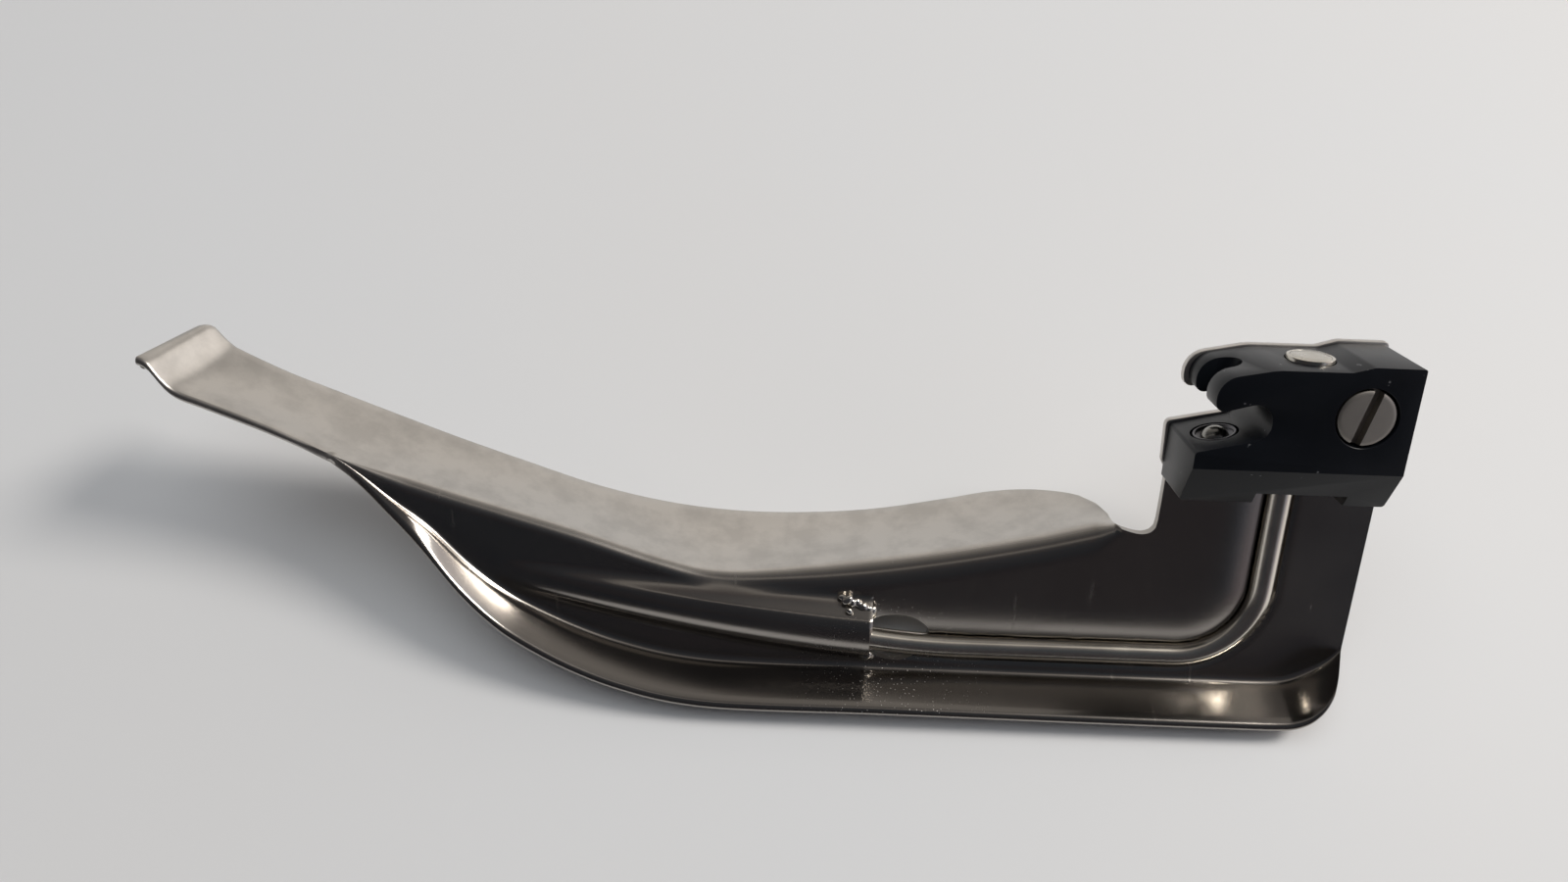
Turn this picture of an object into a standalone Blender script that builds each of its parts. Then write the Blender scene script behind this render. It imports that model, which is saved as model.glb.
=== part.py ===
"""Curved laryngoscope blade with a fibre light guide, lying on its right side.

Everything is modelled in the blade's own frame and then laid on its resting side by one
empty.  In the blade's frame X runs from the tip (negative) to the heel, Y runs up towards
the handle, and Z runs out of the web's left side.  Lengths below are in millimetres.
"""
import math

import bmesh
import bpy
import numpy as np
from mathutils import Matrix, Vector

MM = 0.001

# ---- sheet metal ---------------------------------------------------------------------
SHEET = 1.2                 # thickness of the pressed stainless sheet
TIP_X = -155.0              # free end of the tongue
HEEL_X = 3.1                # heel edge of the plate at the flange
WEB_START_X = -128.0        # the web grows out of the tongue's left edge from here
TONGUE_END_X = -29.4        # the tongue's rounded end runs into the web here
BEND_STEPS = 4              # facets round each pressed bend
TIP_BEAD_R = 0.95           # rolled bead across the free end

# ---- housing at the heel ---------------------------------------------------------------
HOUSING_T = 10.6            # thickness of the black housing over the plate
HOUSING_GAP = 0.3           # it lies on the plate
HOUSING_BOTTOM = -18.1
CHAMFER_TOP = -12.9         # long chamfer between the front face and the underside
CHAMFER_DEPTH = 2.8
THROAT_R = 2.1              # round end of the hook's throat, for a 4 mm handle pin
SLOT_NEAR, SLOT_FAR = 7.0, 3.0   # the slot between the two prongs of the hook
SLOT_END_X = -19.6
RECESS_LEFT, RECESS_RIGHT, RECESS_DEPTH = -16.1, -5.0, 1.5

# ---- light guide ------------------------------------------------------------------------
TUBE_R = 1.6
TUBE_WALL = 0.35
TUBE_Z = -0.6               # the tube's centre lies just below the web's left face
TUBE_X = -9.1               # where it comes down out of the housing
TUBE_Y = -44.5              # where it runs along the web
BEND_R = 10.5
BUNDLE_R = 0.95
CLEAR = 0.3
GROOVE_WALL = 1.1
INLET_X, INLET_Z, INLET_R = -11.3, 5.3, 2.8
INLET_PROUD = 0.5
INLET_DEPTH = 4.4
OUTLET_X = -84.0

# ---- retaining screw, M4 cheese head -----------------------------------------------------
SCREW_X, SCREW_Y = -5.7, -5.9
SCREW_HEAD_R, SCREW_HEAD_H = 3.45, 2.1
SCREW_SHANK_R = 2.0
SLOT_W, SLOT_D = 1.2, 1.1
SLOT_ANGLE = math.radians(76.0)
BUSH_R = 3.3

# ---- spring ball detent on the ledge -----------------------------------------------------
DETENT_X, DETENT_Y, DETENT_Z = -21.2, -9.95, 5.3
LEDGE_SLOPE = math.radians(13.5)
BALL_R = 1.75
BALL_DEPTH = 1.05           # the ball's centre lies this far below the ledge
SLEEVE_R, SLEEVE_BORE, SLEEVE_LEN = 2.6, 2.0, 6.6
SPRING_R, SPRING_WIRE, SPRING_TURNS = 1.25, 0.19, 5

# ---- resting pose ------------------------------------------------------------------------
REST_TILT = math.radians(47.9587)   # the web leans, so tongue and flange bend both touch
REST_ROLL = math.radians(-0.0737)
REST_SHIFT = (75.917, 17.122, 36.588)   # centres the footprint and brings the lowest point to 0


# ---- helpers -----------------------------------------------------------------------------
def clear_scene():
    for obj in list(bpy.data.objects):
        bpy.data.objects.remove(obj, do_unlink=True)


def make_collection(name):
    collection = bpy.data.collections.new(name)
    bpy.context.scene.collection.children.link(collection)
    return collection


def make_material(name, rgb, roughness, metallic, transmission=0.0):
    material = bpy.data.materials.new(name)
    material.use_nodes = True
    shader = material.node_tree.nodes["Principled BSDF"]
    shader.inputs["Base Color"].default_value = (*rgb, 1.0)
    shader.inputs["Roughness"].default_value = roughness
    shader.inputs["Metallic"].default_value = metallic
    shader.inputs["Transmission Weight"].default_value = transmission
    material.diffuse_color = (*rgb, 1.0)
    return material


def add_object(name, mesh, collection, parent, material=None):
    obj = bpy.data.objects.new(name, mesh)
    collection.objects.link(obj)
    obj.parent = parent
    if material is not None:
        mesh.materials.clear()
        mesh.materials.append(material)
    return obj


def smooth(obj, degrees=35.0):
    obj.data.shade_smooth()
    obj.data.set_sharp_from_angle(angle=math.radians(degrees))


def rounded_outline(corners, steps=5):
    """Corner points (x, y, radius) of a closed outline, each rounded by an arc."""
    points = []
    count = len(corners)
    for i, (x, y, radius) in enumerate(corners):
        here = Vector((x, y))
        to_prev = (Vector(corners[i - 1][:2]) - here).normalized()
        to_next = (Vector(corners[(i + 1) % count][:2]) - here).normalized()
        angle = to_prev.angle(to_next)
        if radius <= 0 or angle > math.pi - 0.02:
            points.append((x, y))
            continue
        reach = radius / math.tan(angle / 2)
        centre = here + (to_prev + to_next).normalized() * (radius / math.sin(angle / 2))
        start = here + to_prev * reach - centre
        turn = start.angle_signed(here + to_next * reach - centre)
        for k in range(steps + 1):
            arm = start.copy()
            arm.rotate(Matrix.Rotation(-turn * k / steps, 2))
            points.append(tuple(centre + arm))
    return points


def curve_to_mesh(curve, name):
    """Evaluate a curve, weld its loose caps and return the mesh."""
    holder = bpy.data.objects.new(name + "_curve", curve)
    bpy.context.scene.collection.objects.link(holder)
    bpy.context.view_layer.update()
    graph = bpy.context.evaluated_depsgraph_get()
    mesh = bpy.data.meshes.new_from_object(holder.evaluated_get(graph))
    bpy.data.objects.remove(holder, do_unlink=True)
    bpy.data.curves.remove(curve)
    work = bmesh.new()
    work.from_mesh(mesh)
    bmesh.ops.remove_doubles(work, verts=work.verts, dist=0.000002)
    bmesh.ops.recalc_face_normals(work, faces=work.faces)
    work.to_mesh(mesh)
    work.free()
    mesh.name = name
    return mesh


def outline_mesh(name, points, low, high):
    """A flat outline in X and Y, extruded from low to high along Z."""
    curve = bpy.data.curves.new(name, "CURVE")
    curve.dimensions = "2D"
    curve.fill_mode = "BOTH"
    curve.extrude = (high - low) / 2 * MM
    spline = curve.splines.new("POLY")
    spline.points.add(len(points) - 1)
    for slot, (x, y) in zip(spline.points, points):
        slot.co = (x * MM, y * MM, 0.0, 1.0)
    spline.use_cyclic_u = True
    mesh = curve_to_mesh(curve, name)
    mesh.transform(Matrix.Translation((0, 0, (high + low) / 2 * MM)))
    return mesh


def pipe_mesh(name, points, radius, sides=12, radii=None, caps=True):
    """A round bar along a line of points, with a radius that may vary."""
    curve = bpy.data.curves.new(name, "CURVE")
    curve.dimensions = "3D"
    curve.bevel_depth = radius * MM
    curve.bevel_resolution = sides // 4 - 1 if sides > 4 else 0
    curve.use_fill_caps = caps
    curve.twist_mode = "MINIMUM"
    spline = curve.splines.new("POLY")
    spline.points.add(len(points) - 1)
    for i, (slot, point) in enumerate(zip(spline.points, points)):
        slot.co = (point[0] * MM, point[1] * MM, point[2] * MM, 1.0)
        if radii is not None:
            slot.radius = radii[i] / radius
    return curve_to_mesh(curve, name)


def turned(name, profile, collection, parent, material, place, steps=32):
    """A turned part: (radius, height) points from top to bottom down its outer side."""
    mesh = bpy.data.meshes.new(name)
    verts = [(r * MM, 0.0, z * MM) for r, z in profile]
    edges = [(i, i + 1) for i in range(len(profile) - 1)]
    if profile[0][0] > 0 and profile[-1][0] > 0:
        edges.append((len(profile) - 1, 0))
    mesh.from_pydata(verts, edges, [])
    obj = add_object(name, mesh, collection, parent, material)
    obj.matrix_local = place
    screw = obj.modifiers.new("turn", "SCREW")
    screw.angle = 2 * math.pi
    screw.steps = steps
    screw.render_steps = steps
    screw.use_merge_vertices = True
    screw.merge_threshold = 0.000002
    screw.use_normal_calculate = False
    screw.use_smooth_shade = True
    return obj


def cylinder_mesh(name, radius, low, high, sides=32, scale_y=1.0):
    work = bmesh.new()
    bmesh.ops.create_cone(
        work, cap_ends=True, segments=sides, radius1=radius * MM, radius2=radius * MM,
        depth=(high - low) * MM, matrix=Matrix.Translation((0, 0, (high + low) / 2 * MM)))
    for vert in work.verts:
        vert.co.y *= scale_y
    mesh = bpy.data.meshes.new(name)
    work.to_mesh(mesh)
    work.free()
    return mesh


def box_mesh(name, low, high):
    work = bmesh.new()
    bmesh.ops.create_cube(work, size=1.0)
    for vert in work.verts:
        vert.co = Vector([((low[k] + high[k]) / 2 + vert.co[k] * (high[k] - low[k])) * MM
                          for k in range(3)])
    mesh = bpy.data.meshes.new(name)
    work.to_mesh(mesh)
    work.free()
    return mesh


def boolean(obj, tool, operation="DIFFERENCE"):
    """Cut or join, then keep the tool as a hidden wire guide."""
    modifier = obj.modifiers.new(operation.lower() + "_" + tool.name, "BOOLEAN")
    modifier.operation = operation
    modifier.solver = "EXACT"
    modifier.object = tool
    tool.hide_render = True
    tool.display_type = "WIRE"
    return modifier


def smooth_table(table, x):
    """Read a table of (x, value) stations with a smooth curve through them."""
    xs = [row[0] for row in table]
    ys = [row[1] for row in table]
    if x <= xs[0]:
        return ys[0]
    if x >= xs[-1]:
        return ys[-1]
    i = max(k for k in range(len(xs) - 1) if xs[k] <= x)
    width = xs[i + 1] - xs[i]

    def slope(k):
        if k == 0:
            return (ys[1] - ys[0]) / (xs[1] - xs[0])
        if k == len(xs) - 1:
            return (ys[-1] - ys[-2]) / (xs[-1] - xs[-2])
        return (ys[k + 1] - ys[k - 1]) / (xs[k + 1] - xs[k - 1])

    t = (x - xs[i]) / width
    a = slope(i) * width
    b = slope(i + 1) * width
    return ((2 * t ** 3 - 3 * t ** 2 + 1) * ys[i] + (t ** 3 - 2 * t ** 2 + t) * a
            + (3 * t ** 2 - 2 * t ** 3) * ys[i + 1] + (t ** 3 - t ** 2) * b)


# ---- the blade's lines, as a few stations along its length ----------------------------------
TONGUE_LEFT_Y = [(-155, -8.2), (-151, -10.6), (-148, -12.3), (-140, -15.8), (-130, -20.2),
                 (-120, -23.6), (-110, -26.6), (-100, -29.6), (-90, -32.9), (-82, -34.7),
                 (-70, -34.0), (-55, -31.8), (-40, -28.6), (-29, -25.6)]
TONGUE_RIGHT_Y = [(-155, -6.0), (-151, -8.6), (-148, -10.2), (-140, -13.4), (-130, -17.4),
                  (-120, -21.4), (-110, -25.1), (-100, -28.6), (-90, -31.0), (-80, -32.2),
                  (-70, -32.3), (-60, -31.5), (-50, -29.5), (-40, -27.5), (-33, -26.6),
                  (-29, -26.0)]
TONGUE_WIDTH = [(-155, 12.6), (-150, 13.0), (-130, 14.0), (-100, 15.4), (-80, 16.4), (-60, 17.6),
                (-50, 17.4), (-44, 16.6), (-38, 13.4), (-33.5, 9.0), (-30.5, 5.2), (-29, 2.8)]
FLANGE_BEND_Y = [(-128, -22.4), (-125, -24.6), (-120, -29.4), (-115, -34.8), (-110, -39.0),
                 (-105, -41.9), (-100, -44.3), (-95, -46.2), (-88, -47.9), (-80, -48.7),
                 (-60, -48.8), (-10, -48.9), (-5, -48.6), (-1, -47.0), (2, -44.9), (3.1, -43.6)]
FLANGE_WIDTH = [(-128, 0.5), (-124, 1.4), (-118, 3.4), (-110, 5.2), (-100, 6.3), (-80, 6.9),
                (-4, 6.9), (3.1, 5.6)]
FLANGE_DROP = [(-128, 0.2), (-120, 1.6), (-110, 2.1), (-90, 2.3), (-60, 2.0), (-5, 2.2),
               (3.1, 1.0)]
PLATE_TOP_Y = -27.5         # the web's upper row behind the heel plate


def bend_radius(x):
    """The bend from tongue to web stays wider than the sheet is thick."""
    if x < WEB_START_X - 0.01:
        return 0.4
    span = smooth_table(TONGUE_LEFT_Y, x) - smooth_table(FLANGE_BEND_Y, x)
    width = smooth_table(TONGUE_WIDTH, x)
    return max(SHEET + 0.2, min(3.0, span * 0.4, width * 0.5))


def tongue_section(x):
    """Tongue from its free right edge to the bend, slightly hollow on the handle side."""
    left = smooth_table(TONGUE_LEFT_Y, x)
    right = smooth_table(TONGUE_RIGHT_Y, x)
    width = smooth_table(TONGUE_WIDTH, x)
    bend = bend_radius(x)
    points = []
    for k in range(6):
        s = k / 5
        sag = -0.5 * math.sin(math.pi * s) * min(1.0, width / 12)
        points.append((x, right + (left - right) * s + sag, -width + (width - bend) * s))
    return points, bend


def web_section(x, bend):
    """Bend, web, flange bend and flange, from the tongue down and out to the left."""
    top = smooth_table(TONGUE_LEFT_Y, x)
    low = smooth_table(FLANGE_BEND_Y, x)
    out = smooth_table(FLANGE_WIDTH, x)
    drop = smooth_table(FLANGE_DROP, x)
    span = top - low
    r_top = bend
    r_low = max(0.15, min(2.4, (span - r_top) * 0.5, out * 0.5))
    points = []
    if x <= TONGUE_END_X:
        for k in range(1, BEND_STEPS + 1):
            a = math.pi / 2 * k / BEND_STEPS
            points.append((x, top - r_top * (1 - math.cos(a)), -r_top * (1 - math.sin(a))))
        start = top - r_top
    else:
        start = PLATE_TOP_Y
        points.append((x, start, 0.0))
    for k in (1, 2, 3):
        points.append((x, start + (low + r_low - start) * k / 3, 0.0))
    for k in range(1, BEND_STEPS + 1):
        a = math.pi / 2 * k / BEND_STEPS
        points.append((x, low + r_low * (1 - math.sin(a)), r_low * (1 - math.cos(a))))
    lean = 2.2 * max(0.0, min(1.0, (x + 6.0) / 9.0))
    for k in (1, 2, 3):
        s = k / 3
        points.append((x - lean * s, low - drop * s, r_low + (out - r_low) * s))
    return points


def blade_stations():
    xs = [TIP_X, TIP_X + 1.0, TIP_X + 2.2, TIP_X + 3.6, TIP_X + 5.5]
    xs += list(np.arange(-146, -129, 4.5))
    xs += list(np.arange(WEB_START_X, -109, 2.2))
    xs += list(np.arange(-108, -44, 4.0))
    xs += [-43, -40.5, -38, -36, -34.2, -32.6, -31.2, -30.2, TONGUE_END_X]
    xs += [-26, -21, -16, -11, -7, -4.5, -2.5, -0.8, 0.9, 2.2, HEEL_X]
    return xs


def blade_surface():
    """The sheet's handle side and left side, as rows of points along the blade."""
    work = bmesh.new()
    rows = []
    for x in blade_stations():
        tongue, bend = tongue_section(x)
        if x > TONGUE_END_X:
            tongue = []
        web = web_section(x, bend) if x >= WEB_START_X - 0.01 else []
        row = {}
        for k, point in enumerate(tongue):
            row[k] = work.verts.new(Vector(point) * MM)
        offset = 6 if x <= TONGUE_END_X else 6 + BEND_STEPS - 1
        for k, point in enumerate(web):
            row[offset + k] = work.verts.new(Vector(point) * MM)
        rows.append(row)
    for low, high in zip(rows, rows[1:]):
        keys = sorted(set(low) & set(high))
        for a, b in zip(keys, keys[1:]):
            if b == a + 1:
                work.faces.new((low[a], high[a], high[b], low[b]))
    bmesh.ops.recalc_face_normals(work, faces=work.faces)
    upward = sum(face.normal.z * face.calc_area() for face in work.faces)
    if upward < 0:
        bmesh.ops.reverse_faces(work, faces=work.faces)
    mesh = bpy.data.meshes.new("blade_shell")
    work.to_mesh(mesh)
    work.free()
    return mesh


def tube_path(start_y, end_x):
    """Centre line of the light tube: down from the housing, round the bend, to the outlet."""
    points = [(TUBE_X, y, TUBE_Z) for y in np.linspace(start_y, TUBE_Y + BEND_R, 7)]
    for k in range(1, 10):
        a = math.pi / 2 * k / 9
        points.append((TUBE_X - BEND_R + BEND_R * math.cos(a),
                       TUBE_Y + BEND_R - BEND_R * math.sin(a), TUBE_Z))
    for x in np.linspace(TUBE_X - BEND_R, OUTLET_X, 22)[1:]:
        if x < end_x - 0.01:
            break
        rise = max(0.0, (-47.0 - x))
        lift = 0.005 * rise ** 2 if rise < 15 else 1.125 + 0.15 * (rise - 15)
        points.append((x, TUBE_Y + lift, TUBE_Z + 0.3 * min(1.0, rise / 14)))
    return points


def tunnel_path():
    """Centre line and radius of the pressed tunnel over the tube's last stretch."""
    rows = []
    for k in range(12):
        s = k / 11
        x = -60.6 - 50.0 * s
        y = -42.0 + 3.6 * s + 3.0 * s ** 2
        radius = 3.7 * (1 - s ** 1.9) + 0.75
        rows.append(((x, y, -0.5), radius))
    return [r[0] for r in rows], [r[1] for r in rows]


HOUSING_OUTLINE = [
    (0.0, 0.3, 0.3), (-6.0, 0.3, 2.0), (-8.4, -0.4, 2.0), (-17.0, -0.45, 9.0),
    (-24.7, -1.5, 2.3), (-24.4, -6.1, 1.3), (-16.6, -4.0, THROAT_R), (-16.6, -8.85, THROAT_R),
    (-25.0, -10.85, 0.5), (-25.0, HOUSING_BOTTOM, 0.4), (0.0, HOUSING_BOTTOM, 0.4)]
PLATE_OUTLINE = [
    (0.5, 0.6, 0.6), (-5.8, 0.6, 2.0), (-8.4, -0.2, 2.0), (-17.0, -0.25, 9.0),
    (-25.2, -1.6, 2.6), (-24.9, -6.4, 1.4), (-16.3, -4.1, THROAT_R), (-16.3, -8.6, THROAT_R),
    (-25.4, -10.6, 0.8), (-25.2, -16.0, 1.0), (-24.4, -20.5, 2.0), (-24.4, -26.3, 2.0),
    (-27.5, -26.3, 3.0), (-29.6, -24.8, 0.3), (-30.2, -30.0, 0.0), (2.4, -32.0, 0.0)]


def axis_place(x, y, z, direction):
    """A local frame at a point with its Z along a direction."""
    turn = Vector((0, 0, 1)).rotation_difference(Vector(direction)).to_matrix().to_4x4()
    return Matrix.Translation((x * MM, y * MM, z * MM)) @ turn


def main():
    clear_scene()
    parts = make_collection("laryngoscope_blade")
    tools = make_collection("cutters")
    rest = bpy.data.objects.new("rest_pose", None)
    parts.objects.link(rest)

    steel = make_material("stainless_steel", (0.56, 0.55, 0.53), 0.22, 1.0)
    bright = make_material("polished_steel", (0.72, 0.71, 0.68), 0.14, 1.0)
    weld = make_material("braze", (0.70, 0.69, 0.67), 0.2, 1.0)
    black = make_material("black_anodised", (0.012, 0.013, 0.016), 0.38, 0.3)
    screw_steel = make_material("screw_steel", (0.42, 0.40, 0.37), 0.34, 1.0)
    fibre = make_material("fibre_bundle", (0.86, 0.84, 0.76), 0.3, 0.0)
    glass = make_material("glass", (0.9, 0.92, 0.93), 0.05, 0.0, 0.9)
    epoxy = make_material("epoxy", (0.30, 0.24, 0.15), 0.4, 0.0)

    def guide(name, mesh):
        return add_object(name, mesh, tools, rest)

    # -- the pressed blade: sheet, heel plate with its hook, tunnel, groove and cut-outs
    shell = add_object("blade_shell", blade_surface(), parts, rest, steel)
    thick = shell.modifiers.new("sheet", "SOLIDIFY")
    thick.thickness = SHEET * MM
    thick.offset = -1.0
    thick.use_even_offset = True
    plate = guide("plate_blank", outline_mesh(
        "plate_blank", rounded_outline(PLATE_OUTLINE), -SHEET + 0.01, -0.01))
    boolean(shell, plate, "UNION")

    bead_line = [(TIP_X, -8.2 + 2.2 * s - 0.5 * math.sin(math.pi * s) - 0.35, -12.6 * s)
                 for s in np.linspace(-0.01, 1.01, 7)]
    bead = guide("tip_bead", pipe_mesh("tip_bead", bead_line, TIP_BEAD_R, 12))
    boolean(shell, bead, "UNION")

    groove_line = tube_path(-8.0, -53.0)
    groove_out = guide("groove_back", pipe_mesh(
        "groove_back", groove_line, TUBE_R + CLEAR + GROOVE_WALL, 16))
    above = guide("above_web", box_mesh("above_web", (-200, -120, -0.5), (60, 60, 40)))
    boolean(groove_out, above)
    boolean(shell, groove_out, "UNION")
    line, radii = tunnel_path()
    tunnel_out = guide("tunnel_back", pipe_mesh("tunnel_back", line, 1.0, 20, radii))
    below = guide("below_web", box_mesh("below_web", (-200, -120, -40), (60, 60, -0.7)))
    boolean(tunnel_out, below)
    boolean(shell, tunnel_out, "UNION")
    line_in = [(line[0][0] + 2.5, line[0][1] - 0.25, line[0][2])] + line[:-1]
    radii_in = [radii[0] - 1.0] + [max(0.35, r - 1.0) for r in radii[:-1]]
    tunnel_in = guide("tunnel_bore", pipe_mesh("tunnel_bore", line_in, 1.0, 20, radii_in))
    boolean(shell, tunnel_in)
    groove_in = guide("groove_bore", pipe_mesh(
        "groove_bore", tube_path(-7.0, -66.0), TUBE_R + CLEAR, 16))
    boolean(shell, groove_in)
    window = guide("window_cut", cylinder_mesh("window_cut", 4.9, -6.0, 1.0, 28, 0.74))
    window.location = (-57.0 * MM, -42.8 * MM, 0.0)
    boolean(shell, window)
    smooth(shell)

    # -- braze beads where the tunnel's mouth is closed onto the web
    for name, x, y, z, r in (("weld_bead_upper", -61.6, -37.3, 1.1, 1.0),
                             ("weld_bead_lower", -61.2, -45.9, 0.7, 0.8)):
        work = bmesh.new()
        bmesh.ops.create_uvsphere(work, u_segments=16, v_segments=10, radius=r * MM)
        for vert in work.verts:
            vert.co.x *= 1.5
        ball_mesh = bpy.data.meshes.new(name)
        work.to_mesh(ball_mesh)
        work.free()
        weld_bead = add_object(name, ball_mesh, parts, rest, weld)
        weld_bead.location = (x * MM, y * MM, z * MM)
        smooth(weld_bead)
        pocket = guide(name + "_pocket", ball_mesh.copy())
        pocket.location = weld_bead.location
        pocket.data.transform(Matrix.Scale(1.0 + 0.12 / r, 4))
        boolean(shell, pocket)

    # -- the black housing
    housing = add_object("light_guide_housing", outline_mesh(
        "light_guide_housing", rounded_outline(HOUSING_OUTLINE), HOUSING_GAP, HOUSING_T),
        parts, rest, black)
    chamfer_pts = [(CHAMFER_TOP, HOUSING_T), (CHAMFER_TOP - 9.0, HOUSING_T),
                   (CHAMFER_TOP - 9.0, HOUSING_T - CHAMFER_DEPTH * 9.0 /
                    (CHAMFER_TOP - HOUSING_BOTTOM))]
    wedge = bmesh.new()
    ends = []
    for x in (-30.0, 5.0):
        ends.append([wedge.verts.new(Vector((x, y, z)) * MM) for y, z in
                     [(chamfer_pts[0][0] + 0.9, chamfer_pts[0][1] + 0.49),
                      (chamfer_pts[1][0], chamfer_pts[1][1] + 0.49), chamfer_pts[2]]])
    wedge.faces.new(ends[0])
    wedge.faces.new(ends[1])
    for k in range(3):
        wedge.faces.new((ends[0][k], ends[1][k], ends[1][(k + 1) % 3], ends[0][(k + 1) % 3]))
    bmesh.ops.recalc_face_normals(wedge, faces=wedge.faces)
    wedge_mesh = bpy.data.meshes.new("chamfer_cut")
    wedge.to_mesh(wedge_mesh)
    wedge.free()
    boolean(housing, guide("chamfer_cut", wedge_mesh))
    slot_cut = guide("prong_slot", box_mesh(
        "prong_slot", (-30.0, -8.0, SLOT_FAR), (SLOT_END_X, 3.0, SLOT_NEAR)))
    boolean(housing, slot_cut)
    slot_end = guide("prong_slot_end", cylinder_mesh(
        "prong_slot_end", (SLOT_NEAR - SLOT_FAR) / 2, -4.0, 7.9, 24))
    slot_end.matrix_local = axis_place(SLOT_END_X, -4.0, (SLOT_NEAR + SLOT_FAR) / 2, (0, 1, 0))
    boolean(housing, slot_end)
    boolean(housing, guide("tube_recess", box_mesh(
        "tube_recess", (RECESS_LEFT, HOUSING_BOTTOM - 3, -3.0),
        (RECESS_RIGHT, HOUSING_BOTTOM + RECESS_DEPTH, 20.0))))
    channel_line = [(TUBE_X, y, TUBE_Z) for y in (-21.0, -17.0, -13.0)]
    boolean(housing, guide("tube_channel", pipe_mesh(
        "tube_channel", channel_line, TUBE_R + CLEAR, 16)))

    def bundle_rise(count):
        """The fibres' path from the tube's end to the inlet."""
        rows = []
        for k in range(count):
            s = k / (count - 1)
            ease = s * s * (3 - 2 * s)
            rows.append((TUBE_X + (INLET_X - TUBE_X) * ease, -12.6 + 8.2 * s,
                         TUBE_Z + (INLET_Z - TUBE_Z) * ease))
        return rows

    boolean(housing, guide("bundle_channel", pipe_mesh(
        "bundle_channel", [(TUBE_X, -14.0, TUBE_Z)] + bundle_rise(9) + [(INLET_X, -3.0, INLET_Z)],
        BUNDLE_R + 0.55, 12)))
    inlet_cut = guide("inlet_bore", cylinder_mesh(
        "inlet_bore", INLET_R + 0.25, -INLET_DEPTH - 0.3, 4.0, 32))
    inlet_cut.matrix_local = axis_place(INLET_X, -0.45, INLET_Z, (0, 1, 0))
    boolean(housing, inlet_cut)
    head_cut = guide("screw_counterbore", cylinder_mesh(
        "screw_counterbore", SCREW_HEAD_R + 0.3, HOUSING_T - 2.6, HOUSING_T + 3.0, 40))
    head_cut.location = (SCREW_X * MM, SCREW_Y * MM, 0)
    boolean(housing, head_cut)
    shank_cut = guide("screw_bore", cylinder_mesh(
        "screw_bore", SCREW_SHANK_R + 0.3, -3.0, HOUSING_T, 28))
    shank_cut.location = (SCREW_X * MM, SCREW_Y * MM, 0)
    boolean(housing, shank_cut)
    bush_cut = guide("bush_pocket", cylinder_mesh("bush_pocket", BUSH_R + 0.3, -4.0, 2.2, 32))
    bush_cut.location = (SCREW_X * MM, SCREW_Y * MM, 0)
    boolean(housing, bush_cut)
    boolean(shell, bush_cut)
    normal = Vector((-math.sin(LEDGE_SLOPE), math.cos(LEDGE_SLOPE), 0))
    detent_place = axis_place(DETENT_X, DETENT_Y, DETENT_Z, normal)
    sleeve_cut = guide("sleeve_bore", cylinder_mesh(
        "sleeve_bore", SLEEVE_R + 0.3, -SLEEVE_LEN - 0.3, 3.0, 32))
    sleeve_cut.matrix_local = detent_place
    boolean(housing, sleeve_cut)
    smooth(housing)

    # -- locating dowels between plate and housing
    for name, x, y in (("dowel_left", -22.6, -15.9), ("dowel_right", -2.6, -14.6)):
        dowel = turned(name, [(0, 1.8), (0.75, 1.8), (1.0, 1.55), (1.0, -0.95), (0.8, -1.15),
                              (0, -1.15)], parts, rest, screw_steel,
                       axis_place(x, y, 0, (0, 0, 1)), 20)
        hole = guide(name + "_hole", cylinder_mesh(name + "_hole", 1.3, -4.0, 2.1, 24))
        hole.location = dowel.location
        boolean(housing, hole)
        boolean(shell, hole)

    # -- light guide: steel tube, fibre bundle, potting, inlet and outlet
    tube = add_object("light_tube", pipe_mesh(
        "light_tube", tube_path(-13.4, OUTLET_X), TUBE_R, 12, caps=False), parts, rest, bright)
    wall = tube.modifiers.new("wall", "SOLIDIFY")
    wall.thickness = TUBE_WALL * MM
    wall.offset = -1.0
    smooth(tube)
    bundle_line = ([(INLET_X, -3.9, INLET_Z)] + bundle_rise(9)[::-1]
                   + tube_path(-14.5, OUTLET_X - 0.2))
    bundle = add_object("fibre_bundle", pipe_mesh(
        "fibre_bundle", bundle_line, BUNDLE_R * 0.9, 8), parts, rest, fibre)
    smooth(bundle)
    turned("inlet_ferrule", [(INLET_R, INLET_PROUD), (INLET_R, -INLET_DEPTH),
                             (1.9, -INLET_DEPTH), (1.9, -0.9), (2.35, -0.9),
                             (2.35, INLET_PROUD)],
           parts, rest, bright, axis_place(INLET_X, -0.45, INLET_Z, (0, 1, 0)), 32)
    turned("inlet_fibre_face", [(0, INLET_PROUD), (2.2, INLET_PROUD), (2.2, -0.75), (0, -0.75)],
           parts, rest, bright, axis_place(INLET_X, -0.45, INLET_Z, (0, 1, 0)), 32)
    turned("inlet_potting", [(0, -0.95), (1.75, -0.95), (1.75, -2.9), (0, -2.9)],
           parts, rest, epoxy, axis_place(INLET_X, -0.45, INLET_Z, (0, 1, 0)), 24)
    end = Vector(tube_path(-13.4, OUTLET_X)[-1])
    before = Vector(tube_path(-13.4, OUTLET_X)[-2])
    along = (end - before).normalized()
    outlet_place = axis_place(*(end + along * 0.25), along)
    turned("outlet_ferrule", [(TUBE_R, 3.2), (TUBE_R, 0.0), (1.15, 0.0), (1.15, 3.2)],
           parts, rest, bright, outlet_place, 24)
    turned("outlet_lens", [(0, 3.15), (0.6, 3.1), (1.0, 2.9), (1.0, 0.7), (0, 0.7)],
           parts, rest, glass, outlet_place, 24)

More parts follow.
